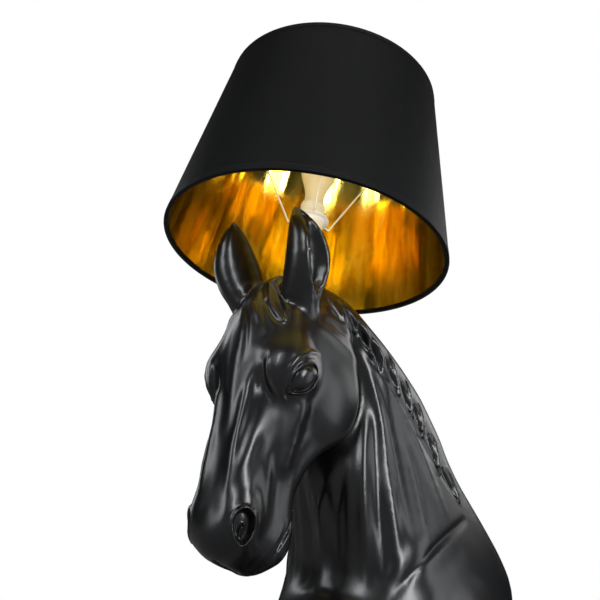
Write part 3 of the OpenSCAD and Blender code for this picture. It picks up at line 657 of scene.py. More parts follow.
def both_sides(points):
    return [points, points * [-1, 1, 1]]


def stroke_paths():
    """(height, half width, fades in, fades out, dense path) of every carved line."""
    paths = []
    for strokes, mirrored in ((FORELOCK, False), (FACE + MANE + NECK, True)):
        for *profile, text in strokes:
            points = table(text, 3)
            for side in both_sides(points) if mirrored else [points]:
                paths.append((*profile, resample(spline(side, 8), 1.5, 1)))
    return paths


def refine_for_detail(verts, tris, paths):
    """Finer triangles where the detail is narrow."""
    for _ in range(3):
        corners = verts[tris]
        longest = np.linalg.norm(corners - np.roll(corners, -1, axis=1), axis=2).max(1)
        centres = corners.mean(1)
        wanted = np.full(len(centres), 99.)
        for _height, width, _fade_in, _fade_out, path in paths:
            if width > 4.3:
                continue
            i = near(centres, path[0], 3 * width + 2)
            distance, _ = path_distance(centres[i], path)
            i = i[distance < 2.1 * width + 1.0]
            wanted[i] = np.minimum(wanted[i], max(0.95, 1.05 * width))
        for outline, margin, size in ((EYE, 9, 0.9), (NOSTRIL, 5, 1.25)):
            for side in both_sides(outline):
                i = near(centres, side, margin + 4)
                middle = side.mean(0)
                reach = np.linalg.norm(side - middle, axis=1).max() + margin
                i = i[np.linalg.norm(centres[i] - middle, axis=1) < reach]
                wanted[i] = np.minimum(wanted[i], size)
        picked = longest > 1.5 * wanted
        if not picked.any():
            break
        verts, tris = refine(verts, tris, picked)
    return verts, tris


def stroke_heights(verts, paths):
    heights = np.zeros(len(verts))
    for height, width, fade_in, fade_out, path in paths:
        i = near(verts, path[0], 3.2 * width)
        distance, share = path_distance(verts[i], path)
        weight = np.exp(-distance * distance / (2 * width * width))
        if fade_in:
            weight = weight * np.clip(share / 0.3, 0, 1) ** 0.8
        if fade_out:
            weight = weight * np.clip((1 - share) / 0.35, 0, 1) ** 0.8
        heights[i] += height * weight
    return heights


def opening(outline, verts, normals, reach, facing):
    """Vertices round an outline: indices, outline centre, outward direction, flat places
    (up, aside) and depth inside the outline."""
    centre = outline.mean(0)
    out = normals[near(verts, outline, 4)].mean(0)
    out /= np.linalg.norm(out)
    up = np.array([0, 0, 1.]) - out[2] * out
    up /= np.linalg.norm(up)
    aside = np.cross(up, out)

    def flatten(points):
        return np.stack([(points - centre) @ up, (points - centre) @ aside], 1)

    ring = flatten(outline)
    curve = spline(np.vstack([ring, ring[:1]]), 6)[:-1]
    i = near(verts, outline, reach)
    i = i[(normals[i] @ out) > facing]
    flat = flatten(verts[i])
    return i, centre, out, flat, polygon_distance(curve, flat[:, 0], flat[:, 1])


def shape_eyes(carved, verts, normals):
    """A ball inside an almond opening, with a groove and a lid round it."""
    for outline in both_sides(EYE):
        i, centre, out, _, depth = opening(outline, verts, normals, reach=14, facing=0.2)
        bulge = np.clip(depth / 13.0, 0, 1)
        # follows the orbit, bulging in the middle
        ball = (verts[i] - centre) @ out - 1.6 + 6.2 * (1 - (1 - bulge) ** 2)
        height = (carved[i] - centre) @ out
        t = np.clip((depth + 0.3) / 1.3, 0, 1)
        t = t * t * (3 - 2 * t)
        shaped = height * (1 - t) + ball * t
        groove = -2.2 * np.exp(-((depth - 0.2) / 1.3) ** 2)
        lid = 2.2 * np.exp(-((depth + 2.5) / 1.7) ** 2)
        fade = np.clip((normals[i] @ out - 0.70) / 0.22, 0.15, 1)
        carved[i] += out * ((shaped - height) + (groove + lid) * fade)[:, None]


def shape_nostrils(carved, verts, normals):
    """A pit with an inner fold and a raised rim."""
    for outline in both_sides(NOSTRIL):
        i, _, out, flat, depth = opening(outline, verts, normals, reach=8, facing=0.1)
        t = np.clip(depth / 6.5, 0, 1)
        fold = (7.0 * np.exp(-(flat[:, 1] / 1.7) ** 2) * np.clip(depth / 2.5, 0, 1)
                * np.clip((4 - flat[:, 0]) / 6, 0, 1))
        rim = 2.2 * np.exp(-((depth + 1.5) / 1.6) ** 2)
        carved[i] += out * (-14.0 * (1 - (1 - t) ** 2) + fold + rim)[:, None]


def hollow_ears(carved, verts, normals):
    """Deepens the cup of each ear, open to its side."""
    for sign in (1, -1):
        mirror = np.array([sign, 1, 1.])
        offset = verts * mirror - EAR_BASE
        share = offset @ EAR_AXIS / EAR_LENGTH
        across = offset @ EAR_ACROSS - 3 * np.sin(np.pi * np.clip(share, 0, 1))
        facing = (normals * mirror) @ EAR_OPEN
        width = 30 * np.interp(share, [.0, .06, .15, .3, .45, .6, .75, .88, .96],
                               [0, .35, .62, .80, .84, .76, .58, .34, 0])
        within = (np.abs(offset @ EAR_OPEN) < 50) & (share > 0.03) & (share < 0.95)
        weight = np.clip(1 - np.abs(across) / (width + .01), 0, 1) * within
        depth = (9.5 * (1 - (1 - np.clip(weight * 1.5, 0, 1)) ** 2)
                 * np.clip((facing - 0.05) / 0.35, 0, 1))
        carved -= depth[:, None] * (EAR_OPEN * mirror)


def carve(verts, tris):
    """Adds the carved detail to the smooth bust."""
    paths = stroke_paths()
    verts, tris = refine_for_detail(verts, tris, paths)
    normals = vertex_normals(verts, tris)
    carved = verts + normals * stroke_heights(verts, paths)[:, None]
    shape_eyes(carved, verts, normals)
    shape_nostrils(carved, verts, normals)
    hollow_ears(carved, verts, normals)
    return carved, tris


def largest_part(bm):
    seen = set()
    best = []
    for vert in bm.verts:
        if vert in seen:
            continue
        seen.add(vert)
        stack = [vert]
        part = [vert]
        while stack:
            here = stack.pop()
            for edge in here.link_edges:
                other = edge.other_vert(here)
                if other not in seen:
                    seen.add(other)
                    stack.append(other)
                    part.append(other)
        if len(part) > len(best):
            best = part
    return set(best)


def trimmed_mesh(verts, tris, cut, flip):
    """The largest part of a surface above the cut height (metres), as a mesh."""
    bm = bmesh.new()
    corners = [bm.verts.new(v) for v in (verts + np.array([0, AXIS_MM, 0])) * MM]
    for a, b, c in tris:
        try:
            bm.faces.new([corners[k] for k in ((a, c, b) if flip else (a, b, c))])
        except ValueError:  # the surface may repeat a triangle where it touches itself
            pass
    bmesh.ops.bisect_plane(bm, geom=list(bm.verts) + list(bm.edges) + list(bm.faces), dist=1e-6,
                           plane_co=(0, 0, cut), plane_no=(0, 0, 1), clear_inner=True)
    loose = [v for v in bm.verts if not v.link_faces]
    bmesh.ops.delete(bm, geom=loose, context="VERTS")
    kept = largest_part(bm)
    bmesh.ops.delete(bm, geom=[v for v in bm.verts if v not in kept], context="VERTS")
    mesh = bpy.data.meshes.new("surface")
    bm.to_mesh(mesh)
    bm.free()
    return mesh


def heading(vert):
    return math.atan2(vert.co.y, vert.co.x)


def open_rims(bm):
    """The two longest open edge loops, anticlockwise from the smallest heading."""
    rim = {v for e in bm.edges if len(e.link_faces) == 1 for v in e.verts}
    loops = []
    while rim:
        vert = rim.pop()
        loop = [vert]
        while True:
            following = [e.other_vert(vert) for e in vert.link_edges
                         if len(e.link_faces) == 1 and e.other_vert(vert) in rim]
            if not following:
                break
            vert = following[0]
            rim.discard(vert)
            loop.append(vert)
        loops.append(loop)
    loops.sort(key=len, reverse=True)
    rims = []
    for loop in loops[:2]:
        area = sum(a.co.x * b.co.y - b.co.x * a.co.y for a, b in zip(loop, loop[1:] + loop[:1]))
        if area < 0:
            loop = loop[::-1]
        k = min(range(len(loop)), key=lambda i: heading(loop[i]))
        rims.append(loop[k:] + loop[:k])
    return rims


def bridge(bm, outer, inner):
    """Joins two rims with triangles, stepping along whichever lags in heading."""
    outer_turn, inner_turn = ([heading(v) for v in rim] + [math.pi * 2 + heading(rim[0])]
                              for rim in (outer, inner))
    i = j = 0
    while i < len(outer) or j < len(inner):
        if j >= len(inner) or (i < len(outer) and outer_turn[i + 1] <= inner_turn[j + 1]):
            bm.faces.new((outer[i], outer[(i + 1) % len(outer)], inner[j % len(inner)]))
            i += 1
        else:
            bm.faces.new((outer[i % len(outer)], inner[(j + 1) % len(inner)], inner[j]))
            j += 1


def build_bust():
    cut = (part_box("bust_shell")[0].z / MM + 0.15) * MM
    surfaces = (trimmed_mesh(*carve(*sculpt()), cut, flip=False),
                trimmed_mesh(*inner_wall(), cut, flip=True))
    bm = bmesh.new()
    for surface in surfaces:
        bm.from_mesh(surface)
    bridge(bm, *open_rims(bm))
    bmesh.ops.recalc_face_normals(bm, faces=bm.faces)
    mesh = bpy.data.meshes.new("horse_bust")
    bm.to_mesh(mesh)
    bm.free()
    for surface in surfaces:
        bpy.data.meshes.remove(surface)
    add_piece(mesh, "root", "black_lacquer", "bust_shell")


# ---------------------------------------------------------------- pieces from meshes
def set_material(piece, material):
    piece.data.materials.clear()
    piece.data.materials.append(material)
    for polygon in piece.data.polygons:
        polygon.material_index = 0


def add_piece(mesh, body, slot, replaced=None):
    """Puts a mesh in the scene, smooth-shaded, in the finish of its slot."""
    mesh.shade_smooth()
    piece = bpy.data.objects.new(mesh.name, mesh)
    bpy.context.scene.collection.objects.link(piece)
    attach(piece, body)
    if replaced:
        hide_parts(replaced)
    set_material(piece, MATERIALS[slot])


def new_piece(name, verts, faces, body, slot, replaced=None):
    """A piece from vertices in millimetres."""
    mesh = bpy.data.meshes.new(name)
    mesh.from_pydata((np.array(verts) * MM).tolist(), [], faces)
    mesh.update()
    mesh.validate()
    add_piece(mesh, body, slot, replaced)


def ring_quads(rows, sides, closed):
    """Quads between rings of vertices, and from the last ring to the first if closed."""
    faces = []
    for i in range(rows if closed else rows - 1):
        j = (i + 1) % rows
        for k in range(sides):
            after = (k + 1) % sides
            faces.append([i * sides + k, i * sides + after, j * sides + after, j * sides + k])
    return faces


def lathe(section, sides, wobble):
    """A closed section of (radius, z) turned about the lamp axis.
    wobble(ring, angles) gives what is added to radius and z."""
    angles = np.arange(sides) * 2 * np.pi / sides
    verts = []
    for i, (radius, z) in enumerate(section):
        more_radius, more_z = wobble(i, angles)
        radii = radius + more_radius
        verts.append(np.stack([radii * np.cos(angles), radii * np.sin(angles) + AXIS_MM,
                               z + more_z], 1))
    return np.concatenate(verts), ring_quads(len(section), sides, closed=True)


def tube(path, radius, sides):
    """A round tube along dense points, its closed ends bevelled."""
    tangents = np.gradient(path, axis=0)
    tangents /= np.linalg.norm(tangents, axis=1, keepdims=True)
    across = np.cross(tangents[0], [0.3, 0.2, 1.0])
    across /= np.linalg.norm(across)
    acrosses = []
    for tangent in tangents:
        across = across - (across @ tangent) * tangent
        across /= np.linalg.norm(across)
        acrosses.append(across)
    last = len(path) - 1
    # path point, shift along the path and size, both as shares of the radius
    stations = [(0, -0.35, 0.55)] + [(i, 0, 1) for i in range(last + 1)] + [(last, 0.35, 0.55)]
    verts = []
    for i, shift, size in stations:
        other = np.cross(tangents[i], acrosses[i])
        centre = path[i] + shift * radius * tangents[i]
        for j in range(sides):
            turn = 2 * math.pi * j / sides
            spoke = math.cos(turn) * acrosses[i] + math.sin(turn) * other
            verts.append(centre + radius * size * spoke)
    faces = ring_quads(len(stations), sides, closed=False)
    faces.append(list(range(sides))[::-1])
    faces.append([(len(stations) - 1) * sides + j for j in range(sides)])
    return verts, faces


# ---------------------------------------------------------------- node graphs
class Graph:
    """Builds the shader nodes of a material or world. Inputs take a number, tuple or socket."""

    def __init__(self, owner):
        owner.use_nodes = True
        self.owner = owner
        self.tree = owner.node_tree
        self.coordinates = self.node("ShaderNodeTexCoord")
        self.place = self.coordinates.outputs["Object"]

    def plug(self, socket, value):
        if isinstance(value, bpy.types.NodeSocket):
            self.tree.links.new(value, socket)
        elif socket.type == "RGBA":
            socket.default_value = (*value, 1)
        else:
            socket.default_value = value

    def node(self, kind, inputs=None, **properties):
        node = self.tree.nodes.new(kind)
        for name, value in properties.items():
            setattr(node, name, value)
        for name, value in (inputs or {}).items():
            self.plug(node.inputs[name], value)
        return node

    def stretched(self, scale):
        inputs = {"Scale": scale, "Vector": self.place}
        return self.node("ShaderNodeMapping", inputs).outputs["Vector"]

    def noise(self, scale, detail=3, rough=0.5, vector=None, distort=0.0):
        inputs = {"Scale": scale, "Detail": detail, "Roughness": rough, "Distortion": distort,
                  "Vector": self.place if vector is None else vector}
        return self.node("ShaderNodeTexNoise", inputs).outputs["Fac"]

    def ramp(self, fac, first, last, low=0.3, high=0.7, between=()):
        node = self.node("ShaderNodeValToRGB", {"Fac": fac})
        stops = node.color_ramp.elements
        stops[0].position = low
        stops[1].position = high
        stops[0].color = (*first, 1)
        stops[1].color = (*last, 1)
        for position, colour in between:
            stops.new(position).color = (*colour, 1)
        return node.outputs["Color"]

    def remap(self, value, to, low=0.3, high=0.7):
        """Maps low..high to the pair of values in to."""
        inputs = {"From Min": low, "From Max": high, "To Min": to[0], "To Max": to[1],
                  "Value": value}
        return self.node("ShaderNodeMapRange", inputs).outputs["Result"]

    def math(self, operation, *values):
        return self.node("ShaderNodeMath", dict(enumerate(values)), operation=operation).outputs[0]

    def times(self, a, b):
        return self.math("MULTIPLY", a, b)

    def plus(self, a, b):
        return self.math("ADD", a, b)

    def mix(self, fac, a, b):
        # inputs 0, 6 and 7 are the factor and the two colours
        return self.node("ShaderNodeMix", {0: fac, 6: a, 7: b}, data_type="RGBA").outputs[2]

    def bump(self, height, strength, depth, under=None):
        """A bump of the given depth in metres, over another one if given."""
        inputs = {"Strength": strength, "Distance": depth, "Height": height}
        if under is not None:
            inputs["Normal"] = under
        return self.node("ShaderNodeBump", inputs).outputs["Normal"]

    def wear(self):
        """Rises to one on sharp edges."""
        pointiness = self.node("ShaderNodeNewGeometry").outputs["Pointiness"]
        return self.remap(pointiness, to=(0, 1), low=0.53, high=0.6)

    def camera_ray(self):
        return self.node("ShaderNodeLightPath").outputs["Is Camera Ray"]

    def finish(self, **inputs):
        """Sets the Principled inputs, named with underscores, and returns the material."""
        shader = self.tree.nodes["Principled BSDF"]
        for name, value in inputs.items():
            self.plug(shader.inputs[name.replace("_", " ")], value)
        return self.owner


def new_graph(name):
    return Graph(bpy.data.materials.new(name))


def scaled(colour, factor):
    return tuple(c * factor for c in colour)


# ---------------------------------------------------------------- materials
def lacquer():
    g = new_graph("lacquer_black")
    fine = g.noise(scale=420)
    colour = g.ramp(g.noise(scale=9, detail=2), (0.0010, 0.0010, 0.0013), (0.0022, 0.0022, 0.0026))
    colour = g.mix(g.times(g.wear(), 0.22), colour, (0.012, 0.012, 0.013))
    rough = g.plus(g.remap(g.noise(scale=26), to=(0.285, 0.325)), g.remap(fine, to=(-0.012, 0.012)))
    normal = g.bump(g.noise(scale=150, detail=2), strength=0.06, depth=0.0006)
    normal = g.bump(fine, strength=0.05, depth=0.0003, under=normal)
    dust = g.noise(scale=2600, detail=2)
    normal = g.bump(dust, strength=0.03, depth=0.0001, under=normal)
    return g.finish(Base_Color=colour, Roughness=rough, Normal=normal, Specular_IOR_Level=0.5,
                    Coat_Weight=0.05, Coat_Roughness=0.2)


def plastic(name, colour, rough, grain, grain_scale=1400, vary=0.06, glow=0.0, worn=None):
    """glow is the subsurface weight, worn the colour of rubbed edges."""
    g = new_graph(name)
    light = tuple(min(c, 1) for c in scaled(colour, 1 + vary))
    base = g.ramp(g.noise(scale=60), scaled(colour, 1 - vary), light)
    if worn:
        base = g.mix(g.times(g.wear(), 0.5), base, worn)
    roughness = g.remap(g.noise(scale=180), to=(rough - 0.05, rough + 0.07))
    normal = g.bump(g.noise(scale=grain_scale, detail=2), strength=grain, depth=0.0003)
    normal = g.bump(g.noise(scale=90, detail=2), strength=0.05, depth=0.0005, under=normal)
    if glow:
        g.finish(Subsurface_Weight=glow, Subsurface_Radius=(0.006, 0.004, 0.003),
                 Subsurface_Scale=1.0)
    return g.finish(Base_Color=base, Roughness=roughness, Normal=normal)


def metal(name, colour, rough, brushed=0.0, spots=0.08):
    g = new_graph(name)
    base = g.ramp(g.noise(scale=45, detail=4), scaled(colour, 1 - spots), colour,
                  low=0.35, high=0.6)
    streaks = g.stretched((1, 1, 22)) if brushed else None
    grain = g.stretched((1, 1, 0.06)) if brushed else None
    roughness = g.remap(g.noise(scale=160, vector=streaks), to=(rough * 0.8, rough * 1.35))
    normal = g.bump(g.noise(scale=900, detail=2, vector=grain), strength=0.08 + brushed,
                    depth=0.0002)
    return g.finish(Base_Color=base, Roughness=roughness, Metallic=1.0, Normal=normal)


def wood(name, dark, light, scale=1.0, plies=False):
    g = new_graph(name)
    grain = g.noise(scale=90 * scale, detail=5, rough=0.6, vector=g.stretched((1, 0.12, 1)),
                    distort=0.6)
    colour = g.ramp(grain, dark, light, low=0.35, high=0.68)
    if plies:
        bands = g.node("ShaderNodeTexWave", {"Scale": 160, "Vector": g.place},
                       wave_type="BANDS", bands_direction="Z").outputs["Fac"]
        glue = g.times(g.ramp(bands, (0, 0, 0), (1, 1, 1)), 0.35)
        colour = g.mix(glue, colour, scaled(dark, 0.55))
    return g.finish(Base_Color=colour, Roughness=g.remap(grain, to=(0.5, 0.75)),
                    Normal=g.bump(grain, strength=0.25, depth=0.0006))


def felt():
    g = new_graph("felt_black")
    fibres = g.noise(scale=900, detail=6, rough=0.75)
    colour = g.ramp(fibres, (0.006, 0.006, 0.007), (0.030, 0.030, 0.032), low=0.3, high=0.72)
    normal = g.bump(fibres, strength=0.9, depth=0.0012)
    normal = g.bump(g.noise(scale=120, detail=4, rough=0.7), strength=0.4, depth=0.001,
                    under=normal)
    return g.finish(Base_Color=colour, Roughness=0.95, Normal=normal, Sheen_Weight=0.6,
                    Sheen_Roughness=0.5)


def angle_and_height(g):
    """Angle about the lamp axis, and height."""
    parts = g.node("ShaderNodeSeparateXYZ", {0: g.place}).outputs
    return g.math("ARCTAN2", g.math("SUBTRACT", parts["Y"], AXIS_Y), parts["X"]), parts["Z"]


def wrapped(g, around, up):
    """Texture place on the shade: angle and height, each scaled."""
    angle, height = angle_and_height(g)
    inputs = {0: g.times(angle, around), 1: g.times(height, up)}
    return g.node("ShaderNodeCombineXYZ", inputs).outputs[0]


def cloth(name, dark, light, sheen, threads=0.0011, slub=0.25):
    """threads is the thread pitch in metres at 0.2 m from the axis, slub the unevenness."""
    g = new_graph(name)
    angle, height = angle_and_height(g)
    around = g.times(angle, 0.2 / threads * 2 * math.pi)
    up = g.times(height, 1.0 / threads * 2 * math.pi)
    warp = g.math("ABSOLUTE", g.math("SINE", around))
    weft = g.math("ABSOLUTE", g.math("SINE", up))
    over = g.times(g.math("SINE", g.times(around, 0.5)), g.math("SINE", g.times(up, 0.5)))
    weave = g.plus(g.plus(warp, g.times(weft, 0.8)), g.times(over, 0.5))
    tall = g.noise(scale=6, detail=4, rough=0.7, vector=wrapped(g, around=34, up=3.0))
    flat = g.noise(scale=2, detail=3, rough=0.7, vector=wrapped(g, around=3, up=240))
    shade = g.plus(g.times(weave, 0.25), g.times(tall, slub * 2))
    normal = g.bump(weave, strength=0.35, depth=0.0004)
    normal = g.bump(g.plus(tall, flat), strength=slub, depth=0.0006, under=normal)
    return g.finish(Base_Color=g.ramp(shade, dark, light, low=0.25, high=0.85),
                    Roughness=g.remap(tall, to=(0.40, 0.52)), Normal=normal,
                    Sheen_Weight=sheen, Sheen_Roughness=0.35, Specular_IOR_Level=0.13)


def foil():
    g = new_graph("foil_gold")
    place = wrapped(g, around=4.2, up=3.6)
    buckles = g.noise(scale=1.15, detail=0.6, vector=place, distort=0.7)
    dents = g.noise(scale=4.6, detail=1.5, vector=place, distort=0.4)
    grain = g.noise(scale=48, rough=0.55, vector=place)
    painted_reflection_patches = g.noise(scale=2.2, detail=1.0, vector=place, distort=1.2)
    normal = g.bump(buckles, strength=0.13, depth=0.012)
    normal = g.bump(dents, strength=0.03, depth=0.0020, under=normal)
    normal = g.bump(grain, strength=0.015, depth=0.0002, under=normal)
    # painted reflection: patches of brighter and darker gold stand in for the light and dark that
    # the foil mirrors
    colour = g.ramp(painted_reflection_patches, (0.78, 0.52, 0.04), (1.0, 0.80, 0.16), low=0.34, high=0.56)
    # painted shade: anything but the camera sees the foil in a darker gold, which keeps its
    # reflections of itself deep and dims its reflection in the lacquer
    colour = g.mix(g.camera_ray(), (0.58, 0.42, 0.045), colour)
    rough = g.plus(g.remap(buckles, to=(0.07, 0.17)), g.remap(grain, to=(-0.02, 0.03)))
    return g.finish(Base_Color=colour, Roughness=rough, Metallic=1.0, Normal=normal)


def iron():
    g = new_graph("iron_cast")
    coarse = g.noise(scale=140, detail=5, rough=0.7)
    fine = g.noise(scale=600)
    normal = g.bump(coarse, strength=0.6, depth=0.0015)
    normal = g.bump(fine, strength=0.4, depth=0.0006, under=normal)
    return g.finish(Base_Color=g.ramp(coarse, (0.035, 0.036, 0.040), (0.085, 0.085, 0.09)),
                    Roughness=g.remap(fine, to=(0.5, 0.75)), Metallic=0.8, Normal=normal)


def opal():
    g = new_graph("bulb_opal")
    return g.finish(Base_Color=g.ramp(g.noise(scale=30), (0.86, 0.80, 0.66), (0.93, 0.89, 0.78)),
                    Roughness=g.remap(g.noise(scale=120), to=(0.28, 0.42)),
                    Normal=g.bump(g.noise(scale=700, detail=2), strength=0.05, depth=0.0002),
                    Subsurface_Weight=0.35, Subsurface_Radius=(0.02, 0.015, 0.009),
                    Subsurface_Scale=1.0)


# the finish of each material slot
MATERIALS = {
    "black_lacquer": lacquer(),
    "birch_ply": wood("birch_ply", (0.42, 0.29, 0.16), (0.66, 0.50, 0.31), plies=True),
    "black_felt": felt(),
    "zinc_steel": metal("zinc_steel", (0.62, 0.63, 0.66), rough=0.32, brushed=0.05),
    "pine": wood("pine_sawn", (0.50, 0.34, 0.17), (0.74, 0.56, 0.33), scale=0.7),
    "grey_iron": iron(),
    "chrome_fitting": metal("chrome_fitting", (0.80, 0.81, 0.83), rough=0.09, spots=0.04),
    "white_plastic": plastic("white_plastic", (0.80, 0.79, 0.75), rough=0.36, grain=0.08,
                             glow=0.08),
    "brass_contact": metal("brass_contact", (0.78, 0.56, 0.22), rough=0.24, brushed=0.04,
                           spots=0.15),
    "bulb_metal": metal("bulb_metal", (0.74, 0.75, 0.77), rough=0.22, brushed=0.06),
    "bulb_cream": plastic("bulb_cream", (0.83, 0.76, 0.62), rough=0.40, grain=0.10, vary=0.04,
                          glow=0.12),
    "bulb_opal": opal(),
    "white_wire": plastic("white_wire", (0.84, 0.83, 0.80), rough=0.30, grain=0.10,
                          grain_scale=900, vary=0.05),
    "black_cloth": cloth("cloth_black", (0.0003, 0.0003, 0.0004), (0.0016, 0.0016, 0.0019),
                         sheen=0.008),
    "gold_foil": foil(),
    "black_trim": cloth("trim_black", (0.0010, 0.0010, 0.0012), (0.0035, 0.0035, 0.0038),
                        sheen=0.02, threads=0.0007, slub=0.15),
    "black_cord": plastic("cord_black", (0.010, 0.010, 0.011), rough=0.46, grain=0.20,
                          grain_scale=1800, vary=0.15),
    "black_rubber": plastic("rubber_black", (0.011, 0.011, 0.011), rough=0.55, grain=0.25,
                            grain_scale=1500, vary=0.15),
    "black_plastic": plastic("moulded_black", (0.011, 0.011, 0.012), rough=0.40, grain=0.35,
                             grain_scale=2200, vary=0.12, worn=(0.05, 0.05, 0.05)),
    "nickel_pin": metal("nickel_pin", (0.72, 0.70, 0.66), rough=0.16, brushed=0.03, spots=0.06),
}


# ---------------------------------------------------------------- the shade
def shade_size():
    """Bottom and top heights and radii of the frame's shade."""
    mesh = nodes["shade_skin"].data
    places = np.zeros(len(mesh.vertices) * 3)
    mesh.vertices.foreach_get("co", places)
    x, y, z = (places.reshape(-1, 3) / MM - [0, AXIS_MM, 0]).T
    radii = np.hypot(x, y)
    low, high = z.min(), z.max()
    return low, high, radii[z < low + 1].max(), radii[z > high - 1].max()


SHADE_LOW, SHADE_HIGH, LOW_RADIUS, HIGH_RADIUS = shade_size()


def shade_radius(z):
    share = (HIGH_RADIUS - LOW_RADIUS) * (z - SHADE_LOW) / (SHADE_HIGH - SHADE_LOW)
    return LOW_RADIUS + share


# phases of the ripples; only as many are used as there are waves
RIPPLE_PHASES = np.random.default_rng(7).uniform(0, 2 * np.pi, 24)
RIPPLE_WAVES = (2, 3, 5, 7, 9, 13, 17, 23)


def ripple(z, angles):
    """Slight buckles of a rolled laminate."""
    total = np.zeros_like(angles)
    for k, waves in enumerate(RIPPLE_WAVES):
        drift = 0.012 * (k + 1) * z * (-1) ** k
        total += np.sin(waves * angles + RIPPLE_PHASES[k] + drift) / (1 + 0.35 * k)
    return 0.06 * total / 2.2


def build_layer(name, slot, replaced, heights, outer, inner, sides, twist):
    """A layer of the shade between two insets from its nominal radius."""
    section = [(shade_radius(z) - outer, z) for z in heights]
    section += [(shade_radius(z) - inner, z) for z in heights[::-1]]
    verts, faces = lathe(section, sides,
                         lambda i, a: (ripple(section[i][1] * twist, a), 0 * a))
    new_piece(name, verts, faces, "shade", slot, replaced)


def build_tape(name, edge, inward, outer_height, inner_height, replaced):
    """Hem tape folded over a rim of the shade, a little fuller at the fold.
    inward is the z direction from the rim into the shade."""
    section = []
    for k in range(9):
        t = k / 8
        z = edge + inward * outer_height * (1 - t)
        swell = 0.34 * math.sin(math.pi * min(1, 0.15 + t * 0.85)) ** 0.5
        section.append((shade_radius(z) + 0.14 + swell, z))
    fold = 3.35
    for k in range(1, 12):
        turn = math.pi * k / 12
        section.append((shade_radius(edge) + 0.42 - fold + fold * math.cos(turn),
                        edge - inward * 0.55 * math.sin(turn)))
    for k in range(1, 6):
        z = edge + inward * inner_height * (k / 5)
        section.append((shade_radius(z) - 6.55, z))
    for k in range(6):
        rise = inner_height * (1 - k / 5)
        section.append((shade_radius(edge + inward * rise) - 6.2, edge + inward * (0.05 + rise)))
    section.append((shade_radius(edge) - 1.5, edge + inward * 0.02))
    section.append((shade_radius(edge) + 0.03, edge + inward * 0.02))
    z = edge + inward * outer_height
    section.append((shade_radius(z) + 0.03, z))

    def wobble(i, angles):
        at_border = i < 3 or i > len(section) - 2
        return (0.035 * np.sin(61 * angles + i),
                0.10 * np.sin(37 * angles + 1.3) * (1 if at_border else 0))

    verts, faces = lathe(section, 320, wobble)
    if inward < 0:
        faces = [face[::-1] for face in faces]
    new_piece(name, verts, faces, "shade", "black_trim", replaced)


def build_seam():
    """The glued seam down the back of the shade: a thin strip with an outer and inner face."""
    start, width = math.radians(88), math.radians(3.2)
    columns, rows = 10, 30
    verts = []
    # stand-off from the shade, and how far the long edges drop
    for standoff, drop in ((0.42, 0.38 * 0.6), (0.04, 0.0)):
        for i in range(rows + 1):
            z = SHADE_LOW + 10.4 + (SHADE_HIGH - SHADE_LOW - 18.8) * i / rows
            for k in range(columns + 1):
                angle = start + width * k / columns
                radius = shade_radius(z) + standoff - (0 if 0 < k < columns else drop)
                verts.append((radius * math.cos(angle), radius * math.sin(angle) + AXIS_MM, z))

    def at(side, i, k):
        return (side * (rows + 1) + i) * (columns + 1) + k

    faces = []
    for i in range(rows):
        j = i + 1
        for k in range(columns):
            faces.append([at(0, i, k), at(0, i, k + 1), at(0, j, k + 1), at(0, j, k)])
            faces.append([at(1, i, k + 1), at(1, i, k), at(1, j, k), at(1, j, k + 1)])
        faces.append([at(0, i, 0), at(0, j, 0), at(1, j, 0), at(1, i, 0)])
        faces.append([at(0, j, columns), at(0, i, columns), at(1, i, columns), at(1, j, columns)])
    for k in range(columns):
        faces.append([at(0, 0, k + 1), at(0, 0, k), at(1, 0, k), at(1, 0, k + 1)])
        faces.append([at(0, rows, k), at(0, rows, k + 1), at(1, rows, k + 1), at(1, rows, k)])
    new_piece("shade_seam", verts, faces, "shade", "black_cloth")


def build_shade():
    build_layer("shade_cloth", "black_cloth", "shade_skin",
                np.linspace(SHADE_LOW, SHADE_HIGH, 40),
                outer=0.02, inner=0.78, sides=288, twist=1)
    build_layer("shade_foil", "gold_foil", "shade_lining",
                np.linspace(SHADE_LOW + 0.3, SHADE_HIGH - 0.3, 64),
                outer=0.92, inner=1.12, sides=360, twist=2.2)
    build_tape("hem_tape_bottom", SHADE_LOW, inward=1, outer_height=10.0, inner_height=5.4,
               replaced="shade_trim_bottom")
    build_tape("hem_tape_top", SHADE_HIGH, inward=-1, outer_height=8.0, inner_height=3.5,
               replaced="shade_trim_top")
    build_seam()


# ---------------------------------------------------------------- cords
CORD_RADIUS = 3.0


def build_cord(name, points, spacing, replaced):
    path, _ = resample(spline(points, 12), spacing, 2)
    verts, faces = tube(path, CORD_RADIUS - 0.02, 20)
    new_piece(name, verts, faces, "root", "black_cord", replaced)


